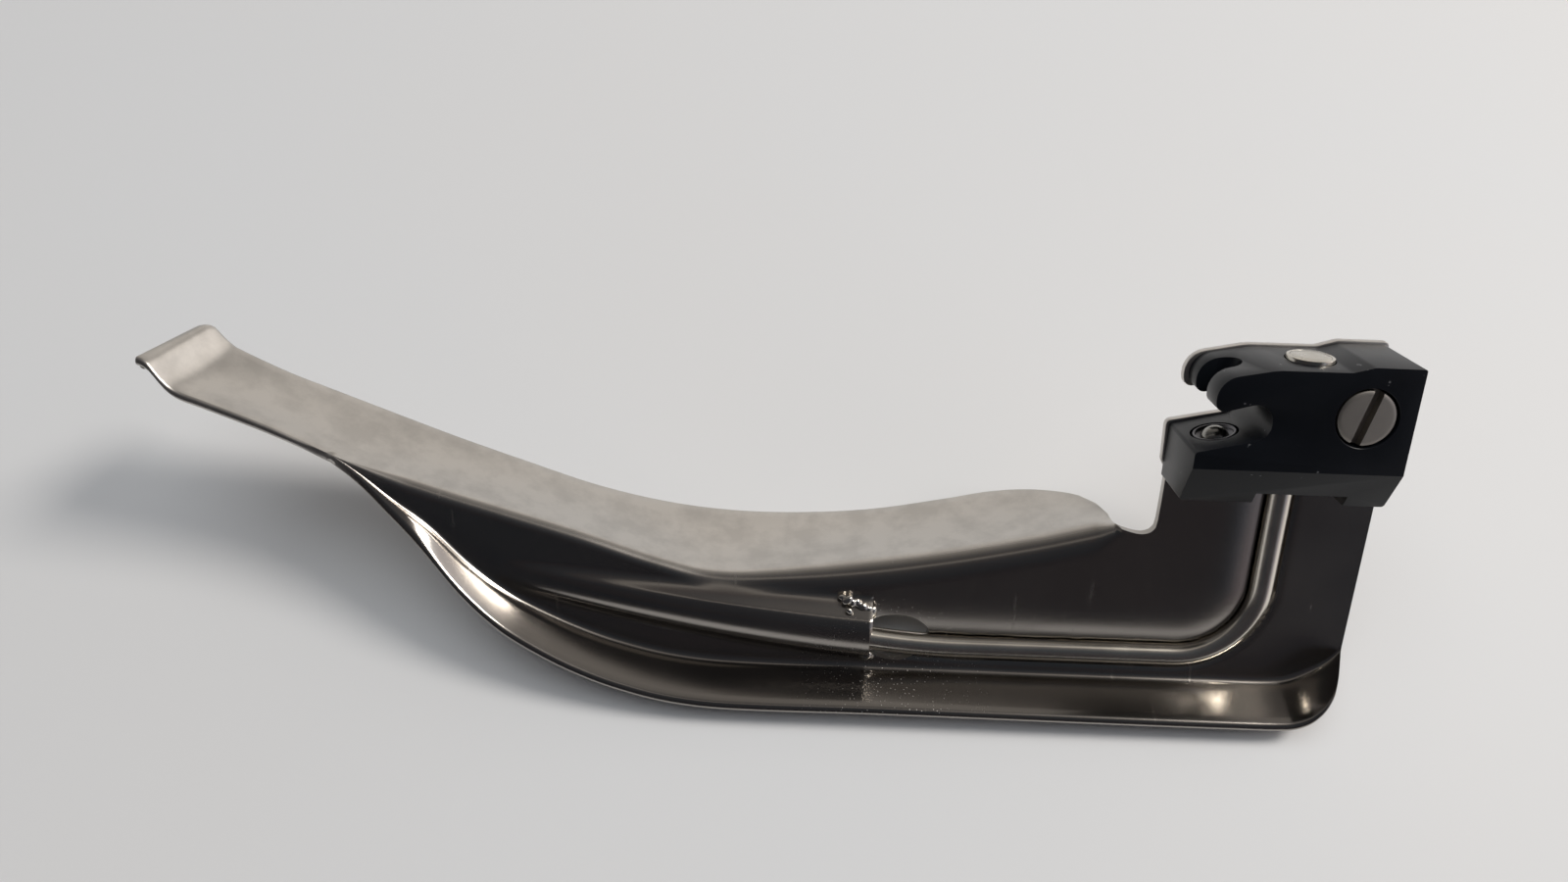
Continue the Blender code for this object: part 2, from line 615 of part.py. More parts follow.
    # -- retaining screw with its spring washer and threaded bush
    screw_axis = axis_place(SCREW_X, SCREW_Y, 0, (0, 0, 1))
    top = HOUSING_T - 0.05
    under = top - SCREW_HEAD_H
    screw = turned("housing_screw", [
        (0, top), (SCREW_HEAD_R - 0.25, top), (SCREW_HEAD_R, top - 0.25), (SCREW_HEAD_R, under),
        (SCREW_SHANK_R, under), (SCREW_SHANK_R, -0.6), (SCREW_SHANK_R - 0.4, -1.1), (0, -1.1)],
        parts, rest, screw_steel, screw_axis, 40)
    slot_tool = guide("screw_slot", box_mesh(
        "screw_slot", (-6.0, -SLOT_W / 2, top - SLOT_D), (6.0, SLOT_W / 2, top + 2.0)))
    slot_tool.matrix_local = screw_axis @ Matrix.Rotation(SLOT_ANGLE, 4, "Z")
    boolean(screw, slot_tool)
    turned("screw_washer", [(3.3, 0.22), (3.3, -0.1), (2.25, -0.1), (2.25, 0.22)], parts, rest,
           screw_steel, axis_place(SCREW_X, SCREW_Y, under - 0.3, (0, 0, 1)), 32)
    turned("screw_bush", [(BUSH_R, 1.9), (BUSH_R, -1.9), (SCREW_SHANK_R + 0.12, -1.9),
                          (SCREW_SHANK_R + 0.12, 1.9)], parts, rest, screw_steel, screw_axis, 32)

    # -- spring ball detent
    turned("detent_sleeve", [
        (1.5, -0.02), (SLEEVE_R, -0.02), (SLEEVE_R, -SLEEVE_LEN), (SLEEVE_BORE, -SLEEVE_LEN),
        (SLEEVE_BORE, -0.75)], parts, rest, bright, detent_place, 32)
    ball_work = bmesh.new()
    bmesh.ops.create_uvsphere(ball_work, u_segments=24, v_segments=14, radius=BALL_R * MM)
    ball_mesh = bpy.data.meshes.new("detent_ball")
    ball_work.to_mesh(ball_mesh)
    ball_work.free()
    ball = add_object("detent_ball", ball_mesh, parts, rest, bright)
    ball.matrix_local = detent_place @ Matrix.Translation((0, 0, -BALL_DEPTH * MM))
    smooth(ball)
    coil = []
    low, high = -SLEEVE_LEN + 1.35, -BALL_DEPTH - BALL_R * 0.86
    for k in range(SPRING_TURNS * 10 + 1):
        a = 2 * math.pi * k / 10
        coil.append((SPRING_R * math.cos(a), SPRING_R * math.sin(a),
                     low + (high - low) * k / (SPRING_TURNS * 10)))
    spring = add_object("detent_spring", pipe_mesh(
        "detent_spring", coil, SPRING_WIRE, 12), parts, rest, screw_steel)
    spring.matrix_local = detent_place
    smooth(spring)
    turned("detent_plug", [(0, -SLEEVE_LEN + 1.05), (1.85, -SLEEVE_LEN + 1.05),
                           (1.85, -SLEEVE_LEN), (0, -SLEEVE_LEN)], parts, rest, screw_steel,
           detent_place, 24)

    # -- lay the finished blade on its resting side
    rest.matrix_local = (Matrix.Translation(Vector(REST_SHIFT) * MM)
                         @ Matrix.Rotation(REST_ROLL, 4, "Y")
                         @ Matrix.Rotation(REST_TILT, 4, "X"))
    bpy.context.view_layer.update()


main()
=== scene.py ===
"""Laryngoscope blade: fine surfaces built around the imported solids.

Lengths in the piece functions are millimetres in the blade's own frame: X runs from the tip
to the heel, Y up towards the handle, Z out of the web's left side.  place() turns a finished
piece into its resting pose and leaves its object at the origin.
"""
import math

import bpy
import numpy as np
from mathutils import Matrix, Vector


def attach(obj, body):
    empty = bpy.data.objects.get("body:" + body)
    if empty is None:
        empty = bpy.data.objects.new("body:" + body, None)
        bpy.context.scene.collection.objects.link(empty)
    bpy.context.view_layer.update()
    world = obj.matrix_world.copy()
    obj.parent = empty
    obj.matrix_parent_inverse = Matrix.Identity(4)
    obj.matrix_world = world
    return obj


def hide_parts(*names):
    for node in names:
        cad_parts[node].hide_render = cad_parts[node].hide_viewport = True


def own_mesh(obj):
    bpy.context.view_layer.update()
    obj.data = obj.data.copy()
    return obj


bl_info = {
    "name": "Laryngoscope Blade",
    "version": (1, 0, 0),
    "blender": (4, 5, 0),
    "location": "View3D > Sidebar > Laryngoscope",
    "description": "Builds a hook-on fibre-lit laryngoscope blade around its packed solids",
    "category": "Add Mesh",
}

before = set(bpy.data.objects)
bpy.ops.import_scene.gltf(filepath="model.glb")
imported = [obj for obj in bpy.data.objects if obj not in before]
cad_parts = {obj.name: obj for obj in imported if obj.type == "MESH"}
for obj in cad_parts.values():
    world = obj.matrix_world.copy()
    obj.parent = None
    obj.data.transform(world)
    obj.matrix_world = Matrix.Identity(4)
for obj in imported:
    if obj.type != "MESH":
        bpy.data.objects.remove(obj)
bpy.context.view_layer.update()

MM = 0.001
REST = (Matrix.Translation(Vector((75.917, 17.122, 36.588)) * MM)
        @ Matrix.Rotation(math.radians(-0.0737), 4, "Y")
        @ Matrix.Rotation(math.radians(47.9587), 4, "X"))


# ---- properties ------------------------------------------------------------------------
def length(name, description, default):
    """A length property whose default is given in millimetres."""
    return bpy.props.FloatProperty(name=name, description=description, default=default * MM,
                                   min=0.0, soft_max=0.04, precision=5, subtype="DISTANCE",
                                   unit="LENGTH")


def in_mm(value):
    return round(value / MM, 4)


class BladeSizes(bpy.types.PropertyGroup):
    sheet: length("Sheet", "Thickness of the pressed stainless sheet", 1.15)
    housing_round: length("Housing edges", "Radius on the black housing's edges", 0.22)
    tube_radius: length("Tube radius", "Outer radius of the light tube", 1.6)
    groove_depth: length("Groove depth", "How deep the light tube's groove is pressed", 2.3)
    screw_slot: length("Screw slot", "Width of the retaining screw's slot", 1.2)


class BladeFinish(bpy.types.PropertyGroup):
    steel: bpy.props.StringProperty(
        name="Steel", description="Colour of the stainless sheet, sRGB hex", default="D0CCC6")
    anodised: bpy.props.StringProperty(
        name="Anodised", description="Colour of the black housing, sRGB hex", default="0C0D10")
    screw: bpy.props.StringProperty(
        name="Screw", description="Colour of the turned screw, sRGB hex", default="A8A39C")
    floor: bpy.props.StringProperty(
        name="Surface", description="Colour of the pale surface, sRGB hex", default="DAD8D6")
    tongue_roughness: bpy.props.FloatProperty(
        name="Tongue roughness", description="Satin finish of the tongue", default=0.34,
        min=0.0, max=1.0, subtype="FACTOR")
    web_roughness: bpy.props.FloatProperty(
        name="Web roughness", description="Mirror finish of the web", default=0.19,
        min=0.0, max=1.0, subtype="FACTOR")


# ---- lines of the blade ------------------------------------------------------------------
# Each table gives stations along X; an outline gives corners as (x, y, rounding radius).
TIP_X, HEEL_X = -155.4, 3.1
WEB_START_X = -132.0
TONGUE_END_X = -29.4
MOUTH_X = -60.8
TUBE_X, TUBE_Y, TUBE_Z, BEND_R = -9.1, -44.5, -0.6, 10.5
OUTLET_X = -84.0
TUBE_WALL = 0.35
SATIN_FADE = 2.6                # how far round the bend the tongue's satin finish reaches
NOTCH_Y = -27.1                 # where the web starts under the notch
HOUSING_LOW, HOUSING_HIGH = 0.1, 10.6
SCREW_X, SCREW_Y, BUSH_R = -5.7, -5.9, 3.5
DOWELS = ((-22.6, -15.9), (-2.6, -14.6))
WINDOW_X, WINDOW_Y, WINDOW_R, WINDOW_SQUEEZE = -57.4, -43.2, 4.7, 0.73
SLOT_END_X, SLOT_LOW, SLOT_HIGH = -21.3, 3.0, 7.0
TONGUE_LEFT_Y = [(-155.4, -7.35), (-154.6, -7.6), (-153.8, -8.2), (-153.0, -9.4),
                 (-152.2, -10.5), (-151.3, -11.35), (-150, -12.0), (-148, -12.7),
                 (-140, -15.8), (-130, -20.2),
                 (-120, -23.6), (-110, -26.6), (-100, -29.6), (-90, -32.9), (-82, -34.7),
                 (-70, -34.0), (-55, -31.8), (-40, -28.6), (-29, -25.6)]
TONGUE_RIGHT_Y = [(-155.4, -6.15), (-154.8, -5.95), (-154.0, -6.2), (-152.9, -7.5),
                  (-151.4, -8.9), (-150, -9.6), (-148, -10.4), (-140, -13.4),
                  (-130, -17.4), (-120, -21.4),
                  (-110, -25.1), (-100, -28.6), (-90, -31.0), (-80, -32.2), (-70, -32.3),
                  (-60, -31.5), (-50, -29.5), (-40, -27.5), (-33, -26.6), (-29, -26.0)]
TONGUE_WIDTH = [(-155.4, 12.6), (-150, 13.0), (-130, 14.0), (-100, 15.4), (-80, 16.4),
                (-60, 17.2), (-50, 17.1), (-44, 17.3), (-38, 16.3), (-34, 14.7),
                (-31.7, 12.8), (-30.2, 10.0), (-29.4, 6.0)]
FLANGE_BEND_Y = [(-132, -19.35), (-130, -20.7), (-128, -22.3), (-125, -25.0), (-120, -29.2),
                 (-115, -34.5), (-110, -38.6), (-105, -41.4), (-100, -43.7), (-95, -45.5),
                 (-88, -47.2), (-80, -48.0), (-60, -48.15), (-10, -48.25), (-5, -48.1),
                 (-3, -47.6), (-1, -46.6), (1, -45.3), (2.2, -44.2), (3.1, -43.0)]
FLANGE_WIDTH = [(-132, 0.03), (-129, 0.35), (-124, 1.4), (-118, 3.4), (-110, 5.2),
                (-100, 6.3), (-80, 6.9), (-4, 6.9), (0, 6.7), (1.6, 6.2), (2.5, 5.4), (3.1, 4.2)]
FLANGE_DROP = [(-132, 0.02), (-128, 0.5), (-120, 1.6), (-110, 2.1), (-90, 2.3), (-60, 2.0),
               (-5, 2.2), (-1, 1.9), (1, 1.7), (3.1, 1.5)]
PLATE_TOP_Y = [(-29.4, -25.7), (-28.6, -25.95), (-27.6, -26.25), (-26.6, -26.45),
               (-25.9, -26.43), (-25.2, -26.2), (-24.75, -25.75), (-24.5, -25.2),
               (-24.42, -24.2), (-24.38, -22.8), (-24.36, -20.0), (-24.34, -15.0), (3.1, -15.0)]
HOUSING_OUTLINE = [
    (0.0, 0.3, 0.3), (-6.0, 0.3, 2.0), (-8.4, -0.4, 2.0), (-17.0, -0.45, 9.0),
    (-23.8, -1.8, 2.8), (-23.4, -6.0, 1.1), (-16.6, -4.0, 2.1), (-16.6, -8.85, 2.1),
    (-25.0, -10.85, 0.5), (-25.0, -18.1, 0.4), (0.0, -18.1, 0.4)]
PLATE_OUTLINE = [
    (0.5, 0.6, 0.6), (-5.8, 0.6, 2.0), (-8.4, -0.2, 2.0), (-17.0, -0.25, 9.0),
    (-24.4, -1.8, 2.9), (-24.0, -6.3, 1.2), (-16.3, -4.1, 2.1), (-16.3, -8.6, 2.1),
    (-25.4, -10.6, 0.8), (-25.2, -16.0, 1.0), (-24.3, -17.6, 0.5), (-24.3, -19.0, 0.0),
    (1.4, -19.0, 0.0)]


def smooth_table(table, x):
    """Read a table of (x, value) stations with a smooth curve through them."""
    xs = [row[0] for row in table]
    ys = [row[1] for row in table]
    if x <= xs[0]:
        return ys[0]
    if x >= xs[-1]:
        return ys[-1]
    i = max(k for k in range(len(xs) - 1) if xs[k] <= x)
    width = xs[i + 1] - xs[i]

    def slope(k):
        if k == 0:
            return (ys[1] - ys[0]) / (xs[1] - xs[0])
        if k == len(xs) - 1:
            return (ys[-1] - ys[-2]) / (xs[-1] - xs[-2])
        return (ys[k + 1] - ys[k - 1]) / (xs[k + 1] - xs[k - 1])

    t = (x - xs[i]) / width
    a, b = slope(i) * width, slope(i + 1) * width
    return ((2 * t ** 3 - 3 * t ** 2 + 1) * ys[i] + (t ** 3 - 2 * t ** 2 + t) * a
            + (3 * t ** 2 - 2 * t ** 3) * ys[i + 1] + (t ** 3 - t ** 2) * b)


def ease(t):
    t = max(0.0, min(1.0, t))
    return t * t * (3 - 2 * t)


def tube_line(start_y, end_x, step=1.6):
    """Centre line of the light tube, from the housing round the bend to the outlet.

    Past x = -47 it climbs, first along a curve and then straight, and sinks into the tunnel.
    """
    points = [(TUBE_X, y, TUBE_Z) for y in np.arange(start_y, TUBE_Y + BEND_R, -step)]
    for k in range(15):
        a = math.pi / 2 * k / 14
        points.append((TUBE_X - BEND_R + BEND_R * math.cos(a),
                       TUBE_Y + BEND_R - BEND_R * math.sin(a), TUBE_Z))
    for x in np.arange(TUBE_X - BEND_R - step, end_x, -step):
        rise = max(0.0, -47.0 - x)
        lift = 0.005 * rise ** 2 if rise < 15 else 1.125 + 0.15 * (rise - 15)
        points.append((x, TUBE_Y + lift, TUBE_Z + 0.3 * min(1.0, rise / 14)))
    return points


GROOVE_LINE = np.array(tube_line(-9.0, -61.5, 0.8))[:, :2]
GROOVE_HALF = 1.8               # half the width of its round bottom
INNER_WALL, INNER_REACH = 0.60, 6.2
OUTER_WALL, OUTER_REACH = 0.30, 0.8
TUNNEL_LENGTH = 50.0


def groove_height(x, y, depth):
    """The pressed groove: round under the tube, steep outside the bend, gentle inside it."""
    if x < MOUTH_X - 0.4 or x > -2.0:
        return 0.0
    away = GROOVE_LINE - (x, y)
    distances = np.hypot(away[:, 0], away[:, 1])
    i = int(distances.argmin())
    d = float(distances[i])
    j = min(max(i, 1), len(GROOVE_LINE) - 2)
    along = GROOVE_LINE[j + 1] - GROOVE_LINE[j - 1]
    inner = along[0] * (y - GROOVE_LINE[i][1]) - along[1] * (x - GROOVE_LINE[i][0]) < 0
    end = ease((x - MOUTH_X + 0.4) / 0.3) * ease((-y - 8.6) / 1.5)
    wall = INNER_WALL if inner else OUTER_WALL
    if d < GROOVE_HALF:
        return -(depth - (depth - wall) * (d / GROOVE_HALF) ** 4) * end
    if inner:
        t = min(1.0, (d - GROOVE_HALF) / INNER_REACH)
        return -wall * (1 - t) ** 2.6 * end
    return -wall * (1 - ease((d - GROOVE_HALF) / OUTER_REACH)) * end


def tunnel_height(x, y):
    """The pressed tunnel over the tube's last stretch, fading out towards the tip.

    Its section is an elliptic crown as far as the shoulder, then a hollow foot.
    """
    s = (MOUTH_X - x) / TUNNEL_LENGTH
    if s < 0 or s >= 1:
        return 0.0
    centre = -42.0 + 3.6 * s + 3.0 * s ** 2
    high = 3.3 * (1 - s ** 1.7)
    half = 3.9 * (1 - 0.55 * s ** 1.6) + 0.2
    t = abs(y - centre) / half
    crown, shoulder, foot = 1.02, 0.62, 1.25
    if t < shoulder:
        return high * math.sqrt(1 - (t / crown) ** 2)
    if t < foot:
        u = (t - shoulder) / (foot - shoulder)
        return high * math.sqrt(1 - (shoulder / crown) ** 2) * (1 - u) ** 2 * (1 + 0.55 * u)
    return 0.0


def bend_radius(x):
    """The bend from tongue to web stays wider than the sheet is thick."""
    if x < WEB_START_X + 0.01:
        return 0.06
    span = smooth_table(TONGUE_LEFT_Y, x) - smooth_table(FLANGE_BEND_Y, x)
    width = smooth_table(TONGUE_WIDTH, x)
    cap = 1.7 + 1.7 * ease((x + 90.0) / 32.0)
    fading = 1.4 + 0.8 * max(0.0, TONGUE_END_X - x)
    return max(0.06, min(cap, fading, width * 0.5, span * 0.4))


TONGUE_COLS, BEND_COLS, WEB_COLS, LOW_COLS, FLANGE_COLS = 12, 8, 60, 7, 6
EDGE_ANGLES = [math.radians(a) for a in (25, 45, 62, 78)]


def tip_skew(x):
    """How far the tip's far edge runs ahead of its near edge."""
    return 3.0 * ease((-139.0 - x) / 16.0)


def tongue_points(x, sheet):
    """Outer points across the tongue, each with its partner on the sheet's inner side."""
    left = smooth_table(TONGUE_LEFT_Y, x)
    right = smooth_table(TONGUE_RIGHT_Y, x)
    width = smooth_table(TONGUE_WIDTH, x)
    bend = bend_radius(x)
    corner = 1.6 * max(0.0, 1 - (x - TIP_X) / 1.6)
    inner_z = -max(bend, sheet) if x > WEB_START_X + 0.001 else -bend
    fade = ease((WEB_START_X - x) / 4.0)
    far_r = min(0.5, width * 0.2)
    near_r = 0.42 * fade
    stations = [(-width + far_r * (1 - math.sin(a)), a) for a in EDGE_ANGLES[::-1]]
    first, last = -width + far_r, -bend - near_r
    stations += [(first + (last - first) * k / TONGUE_COLS, 0.0)
                 for k in range(TONGUE_COLS + 1)]
    stations += [(last + near_r * math.sin(a * fade), a * fade) for a in EDGE_ANGLES]
    pairs = []
    for z, turn in stations:
        s = 1 + (z + bend) / (width - bend)
        sag = -0.55 * math.sin(math.pi * max(0.0, min(1.0, s))) * min(1.0, width / 12)
        middle = right + (left - right) * s + sag * ease((x - TIP_X) / 7) - sheet / 2
        half = sheet / 2 * math.cos(turn)
        if corner > 0:
            z = z * (1 - corner / width * 0.75) - corner * 0.12
        across = x - tip_skew(x) * z / 12.6
        pairs.append(((across, middle + half, z),
                      (across, middle - half, min(z, inner_z))))
    return pairs


def web_points(x, groove_depth, sheet):
    """The same down the web, round the lower bend and out along the flange."""
    if x < WEB_START_X + 0.001:
        return [tongue_points(x, sheet)[-1]] * (BEND_COLS + WEB_COLS + LOW_COLS
                                                + FLANGE_COLS + len(EDGE_ANGLES))
    top = smooth_table(TONGUE_LEFT_Y, x)
    low = smooth_table(FLANGE_BEND_Y, x)
    out = smooth_table(FLANGE_WIDTH, x)
    drop = smooth_table(FLANGE_DROP, x)
    bend = bend_radius(x)
    r_low = max(0.01, min(1.1, (top - low - bend) * 0.5, out * 0.5))
    pairs = []
    if x <= TONGUE_END_X + 0.001:
        deep = max(bend - sheet, 0.0)
        reach = max(bend, sheet)
        for k in range(1, BEND_COLS + 1):
            a = math.pi / 2 * k / BEND_COLS
            c, s = math.cos(a), math.sin(a)
            pairs.append(((x, top - bend * (1 - c), -bend * (1 - s)),
                          (x, top - reach + deep * c, -reach + deep * s)))
        start, limit = top - bend, top - reach
    else:
        start = smooth_table(PLATE_TOP_Y, x)
        for k in range(1, BEND_COLS + 1):
            y = start + (NOTCH_Y - start) * k / BEND_COLS
            pairs.append(((x, y, 0.0), (x, y, -sheet)))
        start, limit = NOTCH_Y, math.inf
    total = start - low - r_low
    dense = min(9.5, total * 0.65)
    for k in range(1, WEB_COLS + 1):
        f = k / WEB_COLS
        y = start - (total - dense) * min(1.0, f / 0.35) - dense * max(0.0, (f - 0.35) / 0.65)
        pairs.append(((x, y, 0.0), (x, min(y, limit), -sheet)))
    for k in range(1, LOW_COLS + 1):
        a = math.pi / 2 * k / LOW_COLS
        c, s = math.cos(a), math.sin(a)
        pairs.append(((x, low + r_low * (1 - s), r_low * (1 - c)),
                      (x, min(low + r_low - (r_low + sheet) * s, limit),
                       r_low - (r_low + sheet) * c)))
    edge_r = min(0.5, (out - r_low) * 0.4)
    stations = [(r_low + (out - edge_r - r_low) * k / FLANGE_COLS, 0.0)
                for k in range(1, FLANGE_COLS + 1)]
    stations += [(out - edge_r * (1 - math.sin(a)), a) for a in EDGE_ANGLES]
    for z, turn in stations:
        middle = low - drop * (z - r_low) / (out - r_low) - sheet / 2
        half = sheet / 2 * math.cos(turn)
        pairs.append(((x, middle + half, z), (x, middle - half, z)))
    lean = 1.7 * ease((x + 3.0) / 6.1)
    shaped = []
    for outer, inner in pairs:
        lift = groove_height(x, outer[1], groove_depth) + tunnel_height(x, outer[1])
        shaped.append(tuple((px - lean * max(pz, 0.0) / out, py, pz + lift)
                            for px, py, pz in (outer, inner)))
    return shaped


def blade_rows():
    """Stations along the blade, close together where its shape turns quickly."""
    rows = list(np.arange(TIP_X, -148.5, 0.4))
    rows += list(np.arange(-148.2, WEB_START_X - 0.5, 1.3)) + [WEB_START_X, -131.3]
    rows += list(np.arange(-130.6, -104, 0.9)) + list(np.arange(-103.2, -62.4, 1.1))
    rows += [-62.0, -61.5, -61.2, MOUTH_X - 0.04, MOUTH_X + 0.04, -60.4, -59.9]
    rows += list(np.arange(-59.2, -30.6, 1.1)) + [-30.1, -29.75, TONGUE_END_X]
    rows += [-28.9, -28.3, -27.6, -26.9, -26.2, -25.6, -25.1, -24.75, -24.55, -24.43, -24.37,
             -24.32, -23.6]
    rows += list(np.arange(-22.9, -15.0, 0.75)) + list(np.arange(-14.9, -4.5, 0.35))
    rows += list(np.arange(-4.3, -0.8, 0.6)) + [-0.5, 0, 0.5, 1.0, 1.5, 2.0, 2.4, 2.8, HEEL_X]
    return sorted(rows)


# ---- mesh helpers ------------------------------------------------------------------------
def select_none():
    if bpy.context.mode != "OBJECT":
        bpy.ops.object.mode_set(mode="OBJECT")
    bpy.ops.object.select_all(action="DESELECT")


def select_only(obj):
    """Leave one object selected and active."""
    select_none()
    obj.select_set(True)
    bpy.context.view_layer.objects.active = obj


def added(name):
    """Name the object that an operator has just left active."""
    obj = bpy.context.active_object
    obj.name = name
    obj.data.name = name
    return obj


def add_primitive(kind, name, **settings):
    """Add one of Blender's primitives on its own, with nothing else selected."""
    select_none()
    getattr(bpy.ops.mesh, "primitive_" + kind + "_add")(**settings)
    return added(name)


def apply_modifier(obj, kind, **settings):
    select_only(obj)
    modifier = obj.modifiers.new(kind.lower(), kind)
    for key, value in settings.items():
        setattr(modifier, key, value)
    bpy.ops.object.modifier_apply(modifier=modifier.name)


def cut(obj, tool, operation="DIFFERENCE"):
    """Combine a piece with a tool, and use the tool up."""
    apply_modifier(obj, "BOOLEAN", operation=operation, solver="EXACT", object=tool)
    if not obj.data.polygons:
        raise RuntimeError(obj.name + " was lost when " + tool.name + " met it")
    bpy.data.objects.remove(tool, do_unlink=True)


def bevel(obj, width, degrees=40.0, segments=3):
    apply_modifier(obj, "BEVEL", width=width * MM, segments=segments, limit_method="ANGLE",
                   angle_limit=math.radians(degrees))


def edit(obj, *steps):
    """Run edit-mode operators on the whole mesh; each step is a function."""
    select_only(obj)
    bpy.ops.object.mode_set(mode="EDIT")
    select_all()
    for step in steps:
        step()
    bpy.ops.object.mode_set(mode="OBJECT")


def select_all():
    bpy.ops.mesh.select_all(action="SELECT")


def face_outwards():
    bpy.ops.mesh.normals_make_consistent(inside=False)


def merge(gap):
    """An edit step that joins vertices closer than this many millimetres."""
    return lambda: bpy.ops.mesh.remove_doubles(threshold=gap * MM)


def extrude(obj, move):
    """Draw a flat face out into a closed solid."""
    edit(obj,
         lambda: bpy.ops.mesh.extrude_region_move(TRANSFORM_OT_translate={"value": move}),
         select_all, face_outwards)


def shade(obj, degrees):
    select_only(obj)
    bpy.ops.object.shade_smooth_by_angle(angle=math.radians(degrees))


UP, OUT = (0, 1, 0), (0, 0, 1)     # towards the handle, and out of the web's left side


def aim(x, y, z, direction):
    """A local frame at a point with its Z along a direction."""
    turn = Vector((0, 0, 1)).rotation_difference(Vector(direction)).to_matrix().to_4x4()
    return Matrix.Translation(Vector((x, y, z)) * MM) @ turn


LEDGE_SLOPE = math.radians(13.5)
DETENT_AT = aim(-21.2, -9.95, 5.3, (-math.sin(LEDGE_SLOPE), math.cos(LEDGE_SLOPE), 0))
INLET_AT = aim(-11.3, -0.45, 5.3, UP)
SCREW_AT = aim(SCREW_X, SCREW_Y, 0, OUT)


def bake(obj, matrix):
    """Move a piece by changing its mesh, so its object stays at the origin."""
    select_only(obj)
    obj.data.transform(matrix @ obj.matrix_world)
    obj.matrix_world = Matrix.Identity(4)


def place(obj, body, finish, replaced, smooth_below):
    """Smooth a piece, lay it in its resting pose and tie it to the CAD."""
    shade(obj, smooth_below)
    bake(obj, REST)
    obj.data.materials.clear()
    obj.data.materials.append(materials()[finish])
    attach(obj, body)
    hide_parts(replaced)


def rounded_outline(corners, steps=6):
    """Corner points (x, y, radius) of a closed outline, each rounded by an arc."""
    points = []
    count = len(corners)
    for i, (x, y, radius) in enumerate(corners):
        here = Vector((x, y))
        to_prev = (Vector(corners[i - 1][:2]) - here).normalized()
        to_next = (Vector(corners[(i + 1) % count][:2]) - here).normalized()
        angle = to_prev.angle(to_next)
        if radius <= 0 or angle > math.pi - 0.02:
            points.append((x, y))
            continue
        reach = radius / math.tan(angle / 2)
        centre = here + (to_prev + to_next).normalized() * (radius / math.sin(angle / 2))
        start = here + to_prev * reach - centre
        turn = start.angle_signed(here + to_next * reach - centre)
        for k in range(steps + 1):
            arm = start.copy()
            arm.rotate(Matrix.Rotation(-turn * k / steps, 2))
            points.append(tuple(centre + arm))
    return points


def outline_solid(name, corners, low, high, steps=6):
    """A filled ring of points moved onto an outline, then extruded."""
    points = rounded_outline(corners, steps)
    area = sum(a[0] * b[1] - b[0] * a[1] for a, b in zip(points, points[1:] + points[:1]))
    if area < 0:
        points.reverse()
    obj = add_primitive("circle", name, vertices=len(points), radius=0.01, fill_type="NGON")
    for vert, (x, y) in zip(obj.data.vertices, points):
        vert.co = (x * MM, y * MM, low * MM)
    extrude(obj, (0, 0, (high - low) * MM))
    return obj


def cylinder(name, radius, low, high, at, sides=48):
    """A cylinder along local Z at a placement matrix."""
    obj = add_primitive("cylinder", name, vertices=sides, radius=radius * MM,
                        depth=(high - low) * MM)
    bake(obj, at @ Matrix.Translation((0, 0, (low + high) / 2 * MM)))
    return obj


def block(name, low, high):
    obj = add_primitive("cube", name, size=1.0)
    size = [(b - a) * MM for a, b in zip(low, high)]
    mid = [(b + a) / 2 * MM for a, b in zip(low, high)]
    bake(obj, Matrix.Translation(mid) @ Matrix.Diagonal((*size, 1.0)))
    return obj


def turned(name, profile, at, sides=64):
    """A turned piece: a strip of points spun round local Z, then closed."""
    obj = add_primitive("grid", name, x_subdivisions=len(profile) - 1, y_subdivisions=1,
                        size=0.01)
    mesh = obj.data
    ordered = sorted(mesh.vertices, key=lambda vert: (vert.co.x, vert.co.y))
    for rank, vert in enumerate(ordered):
        r, z = profile[rank // 2]
        vert.co = (r * MM, 0.0, z * MM)

    edit(obj, merge(0.0005), lambda: bpy.ops.mesh.delete(type="ONLY_FACE"), select_all,
         lambda: bpy.ops.mesh.spin(steps=sides, angle=2 * math.pi, center=(0, 0, 0),
                                   axis=(0, 0, 1)),
         select_all, merge(0.0005),
         lambda: bpy.ops.mesh.dissolve_degenerate(threshold=0.0001 * MM),
         select_all, face_outwards)
    bake(obj, at)
    return obj


def pipe(name, points, radius, sides=24, wall=0.0, taper=1.0):
    """A round bar or tube along a line of points, its two ends drawn down by taper."""
    curve = bpy.data.curves.new(name, "CURVE")
    curve.dimensions = "3D"
    curve.bevel_depth = radius * MM
    curve.bevel_resolution = sides // 4 - 1
    curve.use_fill_caps = wall == 0.0
    spline = curve.splines.new("POLY")
    spline.points.add(len(points) - 1)
    for slot, point in zip(spline.points, points):
        slot.co = (point[0] * MM, point[1] * MM, point[2] * MM, 1.0)
    spline.points[0].radius = spline.points[-1].radius = taper
    obj = bpy.data.objects.new(name, curve)
    bpy.context.scene.collection.objects.link(obj)
    select_only(obj)
    bpy.ops.object.convert(target="MESH")
    obj = added(name)
    edit(obj, merge(0.002), face_outwards)
    if wall:
        apply_modifier(obj, "SOLIDIFY", thickness=wall * MM, offset=-1.0)
    return obj


# ---- materials -----------------------------------------------------------------------------
def linear(hex_colour):
    """sRGB hex to the linear colour that shaders use."""
    values = [int(hex_colour[i:i + 2], 16) / 255 for i in (0, 2, 4)]
    return tuple(v / 12.92 if v <= 0.04045 else ((v + 0.055) / 1.055) ** 2.4
                 for v in values) + (1.0,)


def scale_for(size):
    """The texture scale whose features are this many millimetres across."""
    return 1.0 / (size * MM)


def plug(tree, target, links):
    """Feed a node's sockets: each link names a socket and the output that drives it."""
    for key, source in links.items():
        tree.links.new(source, target.inputs[key])


